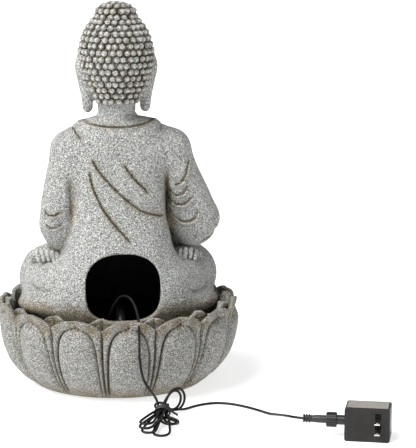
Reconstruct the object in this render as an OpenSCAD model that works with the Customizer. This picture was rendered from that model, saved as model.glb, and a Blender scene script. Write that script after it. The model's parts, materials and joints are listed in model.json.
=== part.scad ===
// Tabletop water fountain: a seated figure in a bowl of lotus petals, with a small pump inside,
// its lead and a plug-in adapter. Millimetres, +Z up, front towards -Y, origin on the table.

/* [Bowl] */
// Radius of the bowl over its petals
rim_r = 154; // [153:1:156]
// Radius of the bowl at its foot
foot_r = 110; // [108:1:112]
// Height of the petal tips above the table
tip_z = 114; // [113:1:116]
// Wall of the bowl behind the petals
bowl_wall = 6; // [5:0.5:7]
// Height of the bowl's floor, where the pump stands
floor_z = 16; // [14:1:16]
// Petals in each of the two rows
petal_count = 14; // [13:1:15]
// How far a front petal stands out of the bowl
petal_t = 4; // [3:0.5:5]

/* [Figure] */
// Height of the top of the head above the table
figure_h = 499; // [496:1:502]
// Wall of the hollow casting
cast_wall = 6; // [5:0.5:7]
// Radius of the round plinth under the legs
plinth_r = 92; // [90:1:93]
// Width of the access port in the back
port_w = 97; // [92:1:100]
// Height of the access port
port_h = 87; // [82:1:90]

/* [Pump] */
// Width of the pump across its rotor axis
pump_w = 44; // [42:1:46]
// Height of the pump's housing
pump_h = 42; // [40:1:44]
// Radius of the ceramic shaft
shaft_r = 1.5; // [1.25:0.25:1.75]
// Radial running clearance of the rotor on the shaft
run_gap = 0.06; // [0.03:0.01:0.09]

/* [Lead] */
// Diameter of the lead
lead_d = 3.2; // [2.8:0.1:3.4]
// Thickness of the tied hank
hank_h = 22; // [20:1:24]

/* [Adapter] */
// Width of the adapter across its face
adapter_w = 54; // [52:1:56]
// Depth of the adapter behind its face
adapter_d = 34; // [32:1:36]
// Height of the adapter
adapter_h = 41; // [40:1:43]
// Wall of the adapter's two case halves
case_t = 2.2; // [1.8:0.2:2.6]

/* [Hidden] */
$fn = 64;
limb_fn = 20;
eps = 0.01;

// Bowl
pad_t = 2;
pad_r = foot_r - 8;
shell_r = rim_r - petal_t;
shell_top = tip_z - 11;
bowl_power = 2.8;
petal_step = 360 / petal_count;
petal_half_w = rim_r * sin(petal_step / 2) - 0.6;
petal_foot_half_w = foot_r * sin(petal_step / 2) - 1.2;
petal_wide_z = tip_z * 0.62;

// Figure
plinth_y = -8;
waist_z = 190;
head_c = [0, -2, 421];
head_size = [50, 54, 52];
knot_r = 28;
knot_c = [0, 2, figure_h - knot_r];
port_z = 139.5;
port_corner = 32;
bowl_c = [0, -80, 174];
spill_r = 27;
spill_h = 30;

// Pump, whose rotor axis runs along Y
pump_x = 10;
foot_h = 6;
pump_z0 = floor_z + foot_h;
axis_z = pump_z0 + pump_h / 2;
pump_y0 = 0;
pump_y1 = 36;
volute_y1 = pump_y1 + 10;
cover_y1 = volute_y1 + 6;
magnet_r = 8.4;
well_r = 9;
chamber_r = 15;
spigot_r = 4;
spigot_x = 0;
spigot_y = (pump_y1 + volute_y1) / 2;
spigot_top = pump_z0 + pump_h + 13;
gland = [pump_x + 14, pump_y0 + 14, pump_z0 + pump_h];
gland_h = 10;

// Riser hose
hose_r = 6;
hose_bore = spigot_r + 0.05;
bend_r = 14;
hose_low_z = pump_z0 + pump_h + 2;
hose_mid_z = spigot_top + 2 + bend_r;
hose_top_z = bowl_c[2] - 6;

// Adapter and the connector on its side
adapter_at = [-239, 322];
adapter_turn = 163;
plug_y = adapter_d / 2;
plug_z = 21;
stub_r = 5.9;
stub_l = 10;
thread_l = 8;
nut_r = 9;
nut_l = 12.5;
plug_r = 4.8;
barrel_l = 9;
plug_end = -40;
boot_end = -51;
blade_x = adapter_w * 0.74;
blade_gap = 12.7;
blade_w = 6.35;
blade_t = 1.5;
blade_l = 17;

// Route of the lead from the pump to the hank
pump_lead_route = [
    [24, 14, 74], [24, 16, 82], [23, 24, 87], [21, 38, 88], [20, 52, 90], [18, 62, 98],
    [14, 72, 112], [8, 82, 126], [1, 94, 133], [-6, 106, 132], [-10, 120, 126], [-12, 136, 118],
    [-12, 148, 114.5], [-12, 154, 112], [-12, 156.6, 106], [-12, 157, 94], [-12, 157, 76],
    [-13, 157, 60], [-15, 158, 46], [-20, 160, 34], [-27, 166, 25], [-33, 176, 18], [-37, 188, 14],
];
// Route of the lead from the hank to the connector's boot
plug_lead_route = [
    [-58, 178, 5], [-64, 168, 2.6], [-71, 161, 1.8], [-80, 155, 1.8], [-95, 149, 1.8],
    [-111, 146, 1.8], [-127, 152, 1.8], [-143, 166, 1.8], [-158, 185, 1.8], [-168, 204, 2.6],
    [-173, 224, 7], [-176, 244, 12], [-178, 260, 16], [-180, 272, 18.8], [-184, 282, 20.4],
    [-190, 288.4, 21], [-195.2, 290.8, 21],
];
hank_c = [-39, 226];
hank_turn = 66;
hank_l = 104;
hank_w = 34;

stone = "#9d9c98";
black_plastic = "#26241f";
black_rubber = "#1b1a18";
steel = "#b9bcc0";

// ---------------------------------------------------------------- shared shapes

// Radius of the bowl's outline at a height, growing quickly at the foot and upright at the rim
function bowl_r(z, top_r) = top_r - (rim_r - foot_r) * pow(max(0, 1 - z / (tip_z - 2)), bowl_power);

function bowl_heights() = [for (i = [0:8]) pad_t + (shell_top - pad_t) * i / 8];
function band_heights() = [for (i = [0:8]) pad_t + (tip_z - pad_t) * i / 8];

// A flat outline with round corners
module round_rect(w, h, r) {
    square([w - 2 * r, h], center = true);
    square([w, h - 2 * r], center = true);
    for (sx = [-1, 1], sy = [-1, 1])
        translate([sx * (w / 2 - r), sy * (h / 2 - r)]) circle(r);
}

// A block with round edges along Y, centred on X and Z, that starts at y = 0
module y_block(w, h, depth, r) {
    rotate([90, 0, 0]) mirror([0, 0, 1]) linear_extrude(depth) round_rect(w, h, r);
}

module y_rod(r, depth) {
    rotate([-90, 0, 0]) cylinder(r = r, h = depth);
}

// A smooth body through balls given as [x, y, z, radius]
module limb(balls, shrink = 0) {
    hull() for (b = balls)
        translate([b[0], b[1], b[2]]) sphere(b[3] - shrink, $fn = limb_fn);
}

// Points of a smooth curve through a route, with a few steps between each pair of points
function along(p0, p1, p2, p3, t) =
    0.5 * (2 * p1 + (p2 - p0) * t + (2 * p0 - 5 * p1 + 4 * p2 - p3) * t * t
           + (3 * p1 - p0 - 3 * p2 + p3) * t * t * t);
function smooth_route(route, steps) = [
    for (i = [0:len(route) - 2], s = [0:steps - 1])
        along(route[max(i - 1, 0)], route[i], route[i + 1], route[min(i + 2, len(route) - 1)], s / steps),
    route[len(route) - 1],
];

function unit(v) = v / norm(v);
// A side direction carried from ring to ring, so that the tube never twists
function carried(side, dir) = unit(side - dir * (side * dir));
function ring_dirs(pts) = [for (i = [0:len(pts) - 1])
    unit(pts[min(i + 1, len(pts) - 1)] - pts[max(i - 1, 0)])];
function ring_sides(dirs, i = 0, side = [1, 0, 0]) =
    i == len(dirs) ? [] : let (s = carried(side, dirs[i])) concat([s], ring_sides(dirs, i + 1, s));

// A round tube, swept along a route as one closed solid
module swept_tube(route, d, steps, sides = 8) {
    pts = smooth_route(route, steps);
    dirs = ring_dirs(pts);
    right = ring_sides(dirs);
    n = len(pts);
    rings = [for (i = [0:n - 1], k = [0:sides - 1])
        pts[i] + d / 2 * (cos(360 * k / sides) * right[i] + sin(360 * k / sides) * cross(dirs[i], right[i]))];
    walls = [for (i = [0:n - 2], k = [0:sides - 1]) let (j = (k + 1) % sides)
        [i * sides + k, (i + 1) * sides + k, (i + 1) * sides + j, i * sides + j]];
    polyhedron(rings, concat(walls, [[for (k = [0:sides - 1]) k]],
        [[for (k = [sides - 1:-1:0]) (n - 1) * sides + k]]), convexity = 8);
}

// ---------------------------------------------------------------- bowl

module base_pad() color("#2b2a28") cylinder(r = pad_r, h = pad_t);

// The petal's outline, upright, with its tip at the top
module petal_outline(half_w, foot_half_w, tip) {
    rise = tip - petal_wide_z;
    arc_r = (rise * rise / half_w + half_w) / 2;
    intersection() {
        translate([arc_r - half_w, petal_wide_z]) circle(arc_r);
        translate([half_w - arc_r, petal_wide_z]) circle(arc_r);
        translate([-half_w, petal_wide_z]) square([2 * half_w, tip]);
    }
    polygon([[-foot_half_w, pad_t], [foot_half_w, pad_t], [half_w, petal_wide_z + eps],
             [-half_w, petal_wide_z + eps]]);
}

// A ring of bowl wall from which petals are cut
module petal_band(outer_r, inner_r) {
    rotate_extrude() polygon(concat(
        [for (z = band_heights()) [bowl_r(z, outer_r), z]],
        [for (i = [8:-1:0]) let (z = band_heights()[i]) [bowl_r(z, inner_r), z]]));
}

module petal_row(outer_r, inner_r, half_w, foot_half_w, tip, turn) {
    for (i = [0:petal_count - 1])
        intersection() {
            petal_band(outer_r, inner_r);
            rotate([0, 0, turn + i * petal_step]) rotate([90, 0, 0]) mirror([0, 0, 1])
                linear_extrude(rim_r + 5) petal_outline(half_w, foot_half_w, tip);
        }
}

module lotus_bowl() color(stone) {
    difference() {
        rotate_extrude() polygon(concat([[0, pad_t]],
            [for (z = bowl_heights()) [bowl_r(z, shell_r), z]], [[0, shell_top]]));
        rotate_extrude() polygon(concat([[0, floor_z]],
            [for (i = [0:8]) let (z = floor_z + (shell_top - floor_z) * i / 8)
                [bowl_r(z - 3, shell_r) - bowl_wall, z]], [[0, shell_top + 1]]));
    }
    petal_row(rim_r, shell_r - 2, petal_half_w, petal_foot_half_w, tip_z, 0);
    petal_row(shell_r + 1, shell_r - 3, petal_half_w * 0.8, petal_foot_half_w, tip_z - 1, petal_step / 2);
}

// ---------------------------------------------------------------- figure

shoulders = [[66, 6, 311, 26], [-68, 6, 310, 26]];
elbows = [[74, 12, 216, 27], [-106, 10, 212, 28]];
wrists = [[38, -64, 192, 17], [-42, -64, 192, 17]];
knees = [[91, -42, 133, 36], [-98, -42, 133, 37]];

module torso(shrink = 0) {
    limb([for (s = [-1, 1]) each [[s * 24, 0, 324, 21], [s * 62, 6, 309, 27], [s * 40, 6, 282, 34]]], shrink);
    limb([for (s = [-1, 1]) each [[s * 36, 5, 296, 36], [s * 33, 14, 250, 32],
        [s * 34, 24, waist_z, 34]]], shrink);
}

module hips(shrink = 0) {
    limb([for (s = [-1, 1]) each [[s * 34, 24, waist_z, 34], [s * 52, 34, 122, 50]]], shrink);
}

module legs(shrink = 0) {
    for (knee = knees) let (s = sign(knee[0]))
        limb([[s * 56, 26, 124, 42], knee, [s * 16, -84, 122, 38], [s * 10, 0, 130, 40]], shrink);
}

module arm(shoulder, elbow, wrist) {
    limb([shoulder, elbow]);
    limb([elbow, wrist]);
    limb([elbow, [elbow[0], elbow[1] - 24, 180, 14], [wrist[0] * 1.4, wrist[1] + 14, 176, 14], wrist]);
}

// Ball that is wider, deeper or taller than it is round
module egg(at, size, shrink = 0) {
    translate(at) scale([size[0] - shrink, size[1] - shrink, size[2] - shrink]) sphere(1, $fn = 28);
}

module head() {
    egg(head_c, head_size);
    egg(knot_c, [knot_r, knot_r, knot_r]);
    hull() {
        egg([0, -14, 404], [38, 42, 36]);
        egg([0, -32, 384], [16, 18, 16]);
    }
    for (s = [-1, 1]) hull() {
        egg([s * 46, -6, 412], [5, 8, 8]);
        egg([s * 39, -10, 363], [5, 7, 7]);
    }
    translate([0, -2, 330]) cylinder(r1 = 30, r2 = 24, h = 60, $fn = 32);
}

module head_hollow() {
    egg(head_c, head_size, cast_wall + 3);
    translate([0, -2, 300]) cylinder(r = 15, h = 90, $fn = 24);
}

module port_prism() {
    translate([0, 30, port_z]) rotate([90, 0, 0]) mirror([0, 0, 1])
        linear_extrude(100) round_rect(port_w, port_h, port_corner);
}

module seated_figure() color(stone) {
    difference() {
        union() {
            torso();
            hips();
            legs();
            for (i = [0, 1]) arm(shoulders[i], elbows[i], wrists[i]);
            limb([[36, -78, 184, 15], [-36, -78, 184, 15], [0, -96, 178, 12], [0, -60, 178, 16]]);
            head();
            translate([0, plinth_y, floor_z]) cylinder(r = plinth_r, h = 100, $fn = 48);
        }
        torso(cast_wall);
        hips(cast_wall);
        legs(cast_wall);
        head_hollow();
        translate([0, plinth_y, floor_z - 1]) cylinder(r = plinth_r - cast_wall, h = 96, $fn = 48);
        port_prism();
        translate(bowl_c) cylinder(r = spill_r + 1, h = 60, $fn = 48);
        translate(bowl_c - [0, 0, 60]) cylinder(r = hose_r + 1, h = 61, $fn = 32);
        for (a = [0, 90, 180]) translate([0, plinth_y, floor_z - 1]) rotate([0, 0, a + 45])
            translate([-11, 0, 0]) cube([22, plinth_r + 10, 13]);
    }
}

module spill_bowl() color(stone) translate(bowl_c) difference() {
    rotate_extrude() polygon([[0, 0], [15, 0], [23, 7], [spill_r, 18], [spill_r, spill_h],
        [spill_r - 3, spill_h], [spill_r - 3, 19], [20.5, 9], [13, 3], [0, 3]]);
    translate([0, 0, -1]) cylinder(r = spigot_r + 0.05, h = 5);
}

module spill_nozzle() color(black_plastic) translate(bowl_c) difference() {
    union() {
        translate([0, 0, -16]) cylinder(r = spigot_r, h = 26);
        translate([0, 0, 3]) cylinder(r = 7, h = 2);
    }
    translate([0, 0, -17]) cylinder(r = 2.5, h = 28);
}

// A hose that rises from the pump, runs forward inside the casting and rises to the spill bowl
module hose_solid(r) {
    translate([spigot_x, spigot_y, hose_low_z - eps]) cylinder(r = r, h = spigot_top + 2 - hose_low_z + 2 * eps);
    translate([spigot_x, spigot_y - bend_r, spigot_top + 2]) rotate([90, 0, 90])
        rotate_extrude(angle = 90) translate([bend_r, 0]) circle(r);
    translate([spigot_x, bowl_c[1] + bend_r - eps, hose_mid_z])
        y_rod(r, spigot_y - bowl_c[1] - 2 * bend_r + 2 * eps);
    translate([0, bowl_c[1] + bend_r, hose_mid_z + bend_r]) rotate([90, 180, 90])
        rotate_extrude(angle = 90) translate([bend_r, 0]) circle(r);
    translate([0, bowl_c[1], hose_mid_z + bend_r - eps])
        cylinder(r = r, h = hose_top_z - hose_mid_z - bend_r + eps);
}

module riser_hose() color("#3a3a38") difference() {
    hose_solid(hose_r);
    hose_solid(hose_bore);
    translate([spigot_x, spigot_y, hose_low_z - 1]) cylinder(r = hose_bore, h = 3);
    translate([0, bowl_c[1], hose_top_z - 1]) cylinder(r = hose_bore, h = 3);
}

// ---------------------------------------------------------------- pump

module suction_feet() color(black_rubber)
    for (sx = [-1, 1], y = [8, 38]) translate([pump_x + sx * 14, y, floor_z]) difference() {
        union() {
            cylinder(r = 6.5, h = 2);
            cylinder(r = 3, h = foot_h);
        }
        translate([0, 0, -eps]) cylinder(r = 5, h = 1);
    }

module pump_housing() color(black_plastic) translate([pump_x, pump_y0, axis_z]) {
    difference() {
        y_block(pump_w, pump_h, pump_y1, 5);
        translate([0, -1, 0]) y_block(pump_w - 6, pump_h - 6, pump_y1 - 1, 3);
        translate([0, pump_y1 - 3, 0]) y_rod(well_r, 4);
    }
    difference() {
        translate([0, 6, 0]) y_rod(well_r + 1.2, pump_y1 - 6);
        translate([0, 8, 0]) y_rod(well_r, pump_y1);
    }
}

module stator_core() color(steel) translate([pump_x, 10, axis_z]) difference() {
    translate([-18, 0, -17]) cube([36, 20, 27]);
    translate([0, -1, 0]) y_rod(well_r + 1.5, 30);
    translate([-10.5, -1, 0]) cube([21, 30, 30]);
    translate([-10.5, -1, -15]) cube([21, 30, 3]);
}

module stator_coil() color("#a35a2a") translate([pump_x, 8, axis_z]) difference() {
    translate([-9.5, -3, -17.8]) cube([19, 27.5, 5.6]);
    translate([-10, 1.8, -17.2]) cube([20, 20.4, 2.4]);
}

module potting_plug() color("#181816") translate([pump_x, 0, axis_z])
    y_block(pump_w - 6, pump_h - 6, 4, 3);

module volute() color(black_plastic) {
    difference() {
        union() {
            translate([pump_x, pump_y1, axis_z]) y_block(pump_w, pump_h, volute_y1 - pump_y1, 5);
            translate([spigot_x, spigot_y, axis_z]) cylinder(r = spigot_r, h = spigot_top - axis_z);
        }
        translate([pump_x, pump_y1 + 1, axis_z]) y_rod(chamber_r, 20);
        translate([pump_x, pump_y1 - 1, axis_z]) y_rod(well_r, 20);
        translate([spigot_x, spigot_y, axis_z]) cylinder(r = 2.6, h = 80);
    }
}

module volute_seal() color(black_rubber) translate([pump_x, volute_y1 - 1, axis_z])
    difference() {
        y_rod(chamber_r - 0.05, 0.9);
        translate([0, -1, 0]) y_rod(chamber_r - 1.2, 3);
    }

module rotor_shaft() color("#e9e6df") translate([pump_x, 8, axis_z]) y_rod(shaft_r, 41);

module rear_bush() color(black_rubber) translate([pump_x, 8, axis_z]) difference() {
    y_rod(4, 3);
    translate([0, -1, 0]) y_rod(shaft_r, 6);
}

module rotor_magnet() color("#3b3b3f") translate([pump_x, 12, axis_z]) difference() {
    y_rod(magnet_r, 24);
    translate([0, -1, 0]) y_rod(shaft_r + run_gap, 30);
}

module impeller() color("#d8d5cb") translate([pump_x, 36, axis_z]) difference() {
    union() {
        y_rod(magnet_r, 2.5);
        y_rod(3.4, 8);
        for (a = [0:60:300]) rotate([0, a, 0]) translate([2.5, 2.4, -0.6]) cube([10.5, 5.6, 1.2]);
        translate([0, 2, 0]) y_rod(13, 1.2);
    }
    translate([0, -1, 0]) y_rod(shaft_r + run_gap, 20);
}

module intake_cover() color(black_plastic) translate([pump_x, volute_y1, axis_z]) difference() {
    y_block(pump_w, pump_h, cover_y1 - volute_y1, 5);
    translate([0, -1, 0]) y_rod(4, 4.5);
    for (a = [0:60:300]) rotate([0, a, 0]) translate([5.2, -1, -1.2]) cube([6, 12, 2.4]);
    for (i = [-2:2]) translate([i * 7 - 1.5, -1, -18]) cube([3, 12, 5]);
    translate([-17, 3.5, 13]) cube([34, 5, 5.5]);
}

module front_bush() color(black_rubber) translate([pump_x, volute_y1, axis_z]) difference() {
    y_rod(4, 3.5);
    translate([0, -1, 0]) y_rod(shaft_r + run_gap, 4.2);
}

module flow_slider() color("#3a3834") translate([pump_x, volute_y1 + 3.5, axis_z]) {
    translate([-11, 0.1, 13.3]) cube([16, 2.4, 4.9]);
    translate([-5, 0.1, 14.5]) cube([4, 4.4, 2.5]);
}

module lead_gland() color(black_rubber) translate(gland) {
    cylinder(r = 4, h = 3);
    cylinder(r1 = 3.4, r2 = 2.2, h = gland_h);
}

// ---------------------------------------------------------------- lead

module pump_lead() color("#171615") swept_tube(pump_lead_route, lead_d, 3);

module plug_lead() color("#171615") swept_tube(plug_lead_route, lead_d, 2);

module cord_hank() color("#1c1b1a") translate([hank_c[0], hank_c[1], 0.2]) rotate([0, 0, hank_turn])
    linear_extrude(hank_h) {
        square([hank_l - hank_w, hank_w], center = true);
        for (s = [-1, 1]) translate([s * (hank_l - hank_w) / 2, 0]) circle(hank_w / 2);
    }

module twist_tie() color("#121212") translate([hank_c[0], hank_c[1], 0]) rotate([0, 0, hank_turn])
    difference() {
        translate([-28, -hank_w / 2 - 1, 0.2]) cube([4, hank_w + 2, hank_h + 1]);
        translate([-29, -hank_w / 2, -1]) cube([6, hank_w, hank_h + 1.2]);
    }

// ---------------------------------------------------------------- connector and adapter

// Local frame of the adapter: x across its face, y into its depth, z up
module at_adapter() translate([adapter_at[0], adapter_at[1], 0]) rotate([0, 0, adapter_turn]) children();

// Local frame of the connector: z along its axis, out of the adapter's side, towards the lead
module at_plug(x = 0) at_adapter() translate([x, plug_y, plug_z]) rotate([0, -90, 0]) children();

module plug_boot() color(black_rubber) at_plug(plug_end) {
    cylinder(r1 = 3.6, r2 = 2.6, h = plug_end - boot_end);
    for (i = [0:3]) translate([0, 0, 0.6 + i * 2.8]) cylinder(r = 4.35 - i * 0.35, h = 1.6);
}

module plug_body() color(black_plastic) at_plug(-stub_l - thread_l) {
    cylinder(r = stub_r - 0.1, h = 2);
    cylinder(r = plug_r, h = -plug_end - stub_l - thread_l - 8);
    translate([0, 0, -plug_end - stub_l - thread_l - 8]) cylinder(r1 = plug_r, r2 = 4.2, h = 8);
}

module plug_barrel() color(steel) at_plug(-stub_l - thread_l + barrel_l) difference() {
    cylinder(r = 2.75, h = barrel_l);
    translate([0, 0, -1]) cylinder(r = 1.3, h = barrel_l);
}

module collar_nut() color(black_plastic) at_plug(-stub_l - 0.3) difference() {
    union() {
        cylinder(r = nut_r - 0.6, h = nut_l);
        for (a = [0:15:345]) rotate([0, 0, a]) translate([nut_r - 1.2, -0.7, 0.6]) cube([1.2, 1.4, nut_l - 1.2]);
    }
    translate([0, 0, -1]) cylinder(r = stub_r + 0.05, h = thread_l + 3.2);
    translate([0, 0, -1]) cylinder(r = plug_r + 0.08, h = nut_l + 2);
}

module plug_seal() color("#7a1f16") at_plug(-stub_l - thread_l + 1) rotate_extrude()
    translate([4.2, 0]) circle(0.7, $fn = 24);

module socket_stub() color(black_plastic) at_plug() difference() {
    union() {
        cylinder(r = stub_r, h = stub_l + thread_l - 2);
        translate([0, 0, -case_t]) cylinder(r = stub_r, h = case_t);
        translate([0, 0, -case_t - 1.5]) cylinder(r = stub_r + 1.5, h = 1.5);
    }
    translate([0, 0, 5]) cylinder(r = 3.3, h = 30);
    translate([0, 0, stub_l + thread_l - 4]) cylinder(r = 5, h = 5);
}

module socket_pin() color("#c9a24a") at_plug() translate([0, 0, 5]) cylinder(r = 1.1, h = 9);

module adapter_shell(y0, y1, open_front) at_adapter() translate([adapter_w / 2, y0, adapter_h / 2])
    difference() {
        y_block(adapter_w, adapter_h, y1 - y0, 3);
        translate([0, open_front ? -1 : case_t, 0])
            y_block(adapter_w - 2 * case_t, adapter_h - 2 * case_t, y1 - y0 + 1 - case_t, 2);
    }

module adapter_front() color(black_plastic) difference() {
    adapter_shell(0, 8, false);
    for (z = blade_heights()) at_adapter() translate([blade_x, -1, z]) translate([-blade_w / 2, 0, -blade_t / 2])
        cube([blade_w, 5, blade_t]);
}

module adapter_rear() color(black_plastic) difference() {
    adapter_shell(8, adapter_d, true);
    at_plug() translate([0, 0, -case_t - 1]) cylinder(r = stub_r, h = 10);
}

function blade_heights() = [for (s = [-1, 1]) adapter_h / 2 + s * blade_gap / 2];

module adapter_blades() color("#c8b98a") for (z = blade_heights()) at_adapter()
    translate([blade_x, 0, z]) difference() {
        translate([-blade_w / 2, -blade_l, -blade_t / 2]) cube([blade_w, blade_l + 6, blade_t]);
        translate([0, -blade_l + 4, -2]) cylinder(r = 1.5, h = 4, $fn = 24);
    }

module blade_carrier() color("#4a4640") at_adapter() difference() {
    translate([blade_x - 6, case_t, adapter_h / 2 - 11]) cube([12, 3.8, 22]);
    for (z = blade_heights()) translate([blade_x - blade_w / 2, 0, z - blade_t / 2])
        cube([blade_w, 12, blade_t]);
}

module transformer_core() color(steel) at_adapter() translate([12, 11, 6]) difference() {
    cube([34, 16, 28.5]);
    for (x = [6, 20.5]) translate([x, -1, 6]) cube([7.5, 20, 16.5]);
}

module transformer_bobbin() color("#d9cfae") at_adapter() translate([25.2, 10.2, 12.2]) difference() {
    cube([7.6, 17.6, 16.1]);
    translate([0.2, 0.8, -1]) cube([7.2, 16, 20]);
}

module transformer_coil() color("#a35a2a") at_adapter() translate([18.3, 8.6, 12.6]) difference() {
    cube([21.4, 20.8, 15.3]);
    translate([6.9, 1.6, -1]) cube([7.6, 17.6, 20]);
}

module adapter_screws() color(steel) at_adapter() for (x = [7, adapter_w - 7], z = [7, adapter_h - 7])
    translate([x, adapter_d + 0.3, z]) rotate([90, 0, 0]) cylinder(r = 1.4, h = 1.5);

// ---------------------------------------------------------------- nodes

base_pad();
lotus_bowl();
seated_figure();
spill_bowl();
spill_nozzle();
riser_hose();
suction_feet();
pump_housing();
stator_core();
stator_coil();
potting_plug();
volute();
volute_seal();
rotor_shaft();
rear_bush();
rotor_magnet();
impeller();
intake_cover();
front_bush();
flow_slider();
lead_gland();
pump_lead();
cord_hank();
twist_tie();
plug_lead();
plug_boot();
plug_body();
plug_barrel();
collar_nut();
plug_seal();
socket_stub();
socket_pin();
adapter_front();
adapter_rear();
adapter_blades();
blade_carrier();
transformer_core();
transformer_bobbin();
transformer_coil();
adapter_screws();
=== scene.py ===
"""The looks of the tabletop fountain: a cast-stone figure in a lotus bowl, with its lead and adapter.

Lengths inside the sculpting code are millimetres, as in the CAD; meshes are made in metres.
Front is -Y, the back with the access port is +Y.
"""
import json
import math

import bmesh
import bpy
import numpy as np
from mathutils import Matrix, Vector


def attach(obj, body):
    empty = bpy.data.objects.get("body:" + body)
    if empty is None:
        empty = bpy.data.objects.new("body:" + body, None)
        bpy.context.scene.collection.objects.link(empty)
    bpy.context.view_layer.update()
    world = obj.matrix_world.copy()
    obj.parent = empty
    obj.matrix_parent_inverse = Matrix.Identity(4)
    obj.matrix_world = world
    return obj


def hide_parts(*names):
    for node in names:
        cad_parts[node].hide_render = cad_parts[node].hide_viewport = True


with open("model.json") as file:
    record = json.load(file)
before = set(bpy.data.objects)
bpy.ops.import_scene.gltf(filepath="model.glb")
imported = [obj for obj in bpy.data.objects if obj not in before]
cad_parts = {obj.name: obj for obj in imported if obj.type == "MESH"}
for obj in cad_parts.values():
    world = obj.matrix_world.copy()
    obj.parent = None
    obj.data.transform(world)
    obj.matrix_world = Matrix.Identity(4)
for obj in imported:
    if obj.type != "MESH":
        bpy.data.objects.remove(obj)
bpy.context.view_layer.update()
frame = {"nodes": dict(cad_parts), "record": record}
MM = 0.001
NODES = frame["nodes"]


# ---------------------------------------------------------------- camera

camera = bpy.data.objects.new("camera", bpy.data.cameras.new("camera"))
bpy.context.scene.collection.objects.link(camera)
camera.location = (0.2148, 2.4545, 0.6734)
look_at = Vector((-0.120, 0, 0.205))
camera.rotation_euler = (look_at - camera.location).to_track_quat("-Z", "Y").to_euler()
camera.data.sensor_fit = "HORIZONTAL"
camera.data.sensor_width = 36
camera.data.lens = 164.9
bpy.context.scene.camera = camera


# ---------------------------------------------------------------- sculpting in a sampled block


def smooth_step(v, low, high):
    t = np.clip((v - low) / (high - low), 0, 1)
    return t * t * (3 - 2 * t)


def smooth_min(a, b, soft):
    """The union of two distances, with the inner corner filled over a width of soft."""
    if soft <= 0:
        return np.minimum(a, b)
    h = np.maximum(soft - np.abs(a - b), 0) / soft
    return np.minimum(a, b) - h * h * soft / 4


class Clay:
    """A block of space with the distance to a surface at each grid point: below 0 is inside."""

    FAR = 25.0  # the distance everywhere in an empty block
    REACH = 8.0  # how far past a shape its blend is worked out

    def __init__(self, low, high, step):
        self.step = step
        self.low = np.array(low, np.float32)
        self.axes = [np.arange(a, b + step, step, dtype=np.float32) for a, b in zip(low, high)]
        self.d = np.full([len(a) for a in self.axes], self.FAR, np.float32)

    def window(self, low, high):
        """The slices and coordinates of the part of the block between two corners."""
        cuts = []
        for axis, a, b in zip(self.axes, low, high):
            i, j = np.searchsorted(axis, [a, b])
            cuts.append(slice(max(i - 1, 0), min(j + 1, len(axis))))
        x, y, z = (axis[c] for axis, c in zip(self.axes, cuts))
        return tuple(cuts), x[:, None, None], y[None, :, None], z[None, None, :]

    def join(self, cuts, shape, soft, sign):
        """Joins (sign 1) or cuts away (sign -1) a shape in the part of the block that cuts names."""
        here = self.d[cuts]
        self.d[cuts] = smooth_min(here, shape, soft) if sign > 0 else -smooth_min(-here, shape, soft)

    def blend(self, low, high, distance, soft, sign, reach):
        """Joins or cuts away a shape given as a function of x, y and z."""
        pad = reach + soft
        cuts, x, y, z = self.window([a - pad for a in low], [b + pad for b in high])
        if self.d[cuts].size:
            self.join(cuts, distance(x, y, z), soft, sign)

    def egg(self, at, size, soft=2.0, sign=1):
        """An ellipsoid of three half-lengths."""
        at, size = np.array(at, float), np.array(size, float)

        def distance(x, y, z):
            local = (x - at[0], y - at[1], z - at[2])
            k0 = np.sqrt(sum((q / s) ** 2 for q, s in zip(local, size)))
            k1 = np.sqrt(sum((q / s**2) ** 2 for q, s in zip(local, size)))
            return (k0 * (k0 - 1) / np.maximum(k1, 1e-6)).astype(np.float32)

        self.blend(at - size, at + size, distance, soft, sign, self.REACH)

    def limb(self, balls, soft=2.0, sign=1, steps=5, flat=None):
        """A tapering rod through [x, y, z, radius] points, on a smooth curve.

        flat is a direction and the rod's thickness along it, as a share of the full one.
        """
        pts = curve_through(np.array(balls, float), steps)
        low = (pts[:, :3] - pts[:, 3:]).min(0)
        high = (pts[:, :3] + pts[:, 3:]).max(0)
        pad = self.REACH + soft
        cuts = self.window(low - pad, high + pad)[0]
        if not self.d[cuts].size:
            return
        best = np.full(self.d[cuts].shape, self.FAR, np.float32)
        for a, b in zip(pts[:-1], pts[1:]):
            inner, u, v, w = self.window(
                np.minimum(a[:3] - a[3], b[:3] - b[3]) - pad, np.maximum(a[:3] + a[3], b[:3] + b[3]) + pad
            )
            sub = tuple(slice(i.start - c.start, i.stop - c.start) for i, c in zip(inner, cuts))
            if not best[sub].size:
                continue
            best[sub] = np.minimum(best[sub], rod(u, v, w, a, b, flat))
        self.join(cuts, best, soft, sign)


def rod(x, y, z, a, b, flat=None):
    """The distance to a rod between two balls."""
    ab = (b - a)[:3]
    t = ((x - a[0]) * ab[0] + (y - a[1]) * ab[1] + (z - a[2]) * ab[2]) / max(float(ab @ ab), 1e-9)
    t = np.clip(t, 0, 1)
    dx, dy, dz = x - a[0] - t * ab[0], y - a[1] - t * ab[1], z - a[2] - t * ab[2]
    square = dx * dx + dy * dy + dz * dz
    if flat is not None:
        direction, amount = np.array(flat[0]), flat[1]
        along = dx * direction[0] + dy * direction[1] + dz * direction[2]
        square = square + along * along * (1 / amount**2 - 1)
    return (np.sqrt(square) - (a[3] + t * (b[3] - a[3]))).astype(np.float32)


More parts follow.
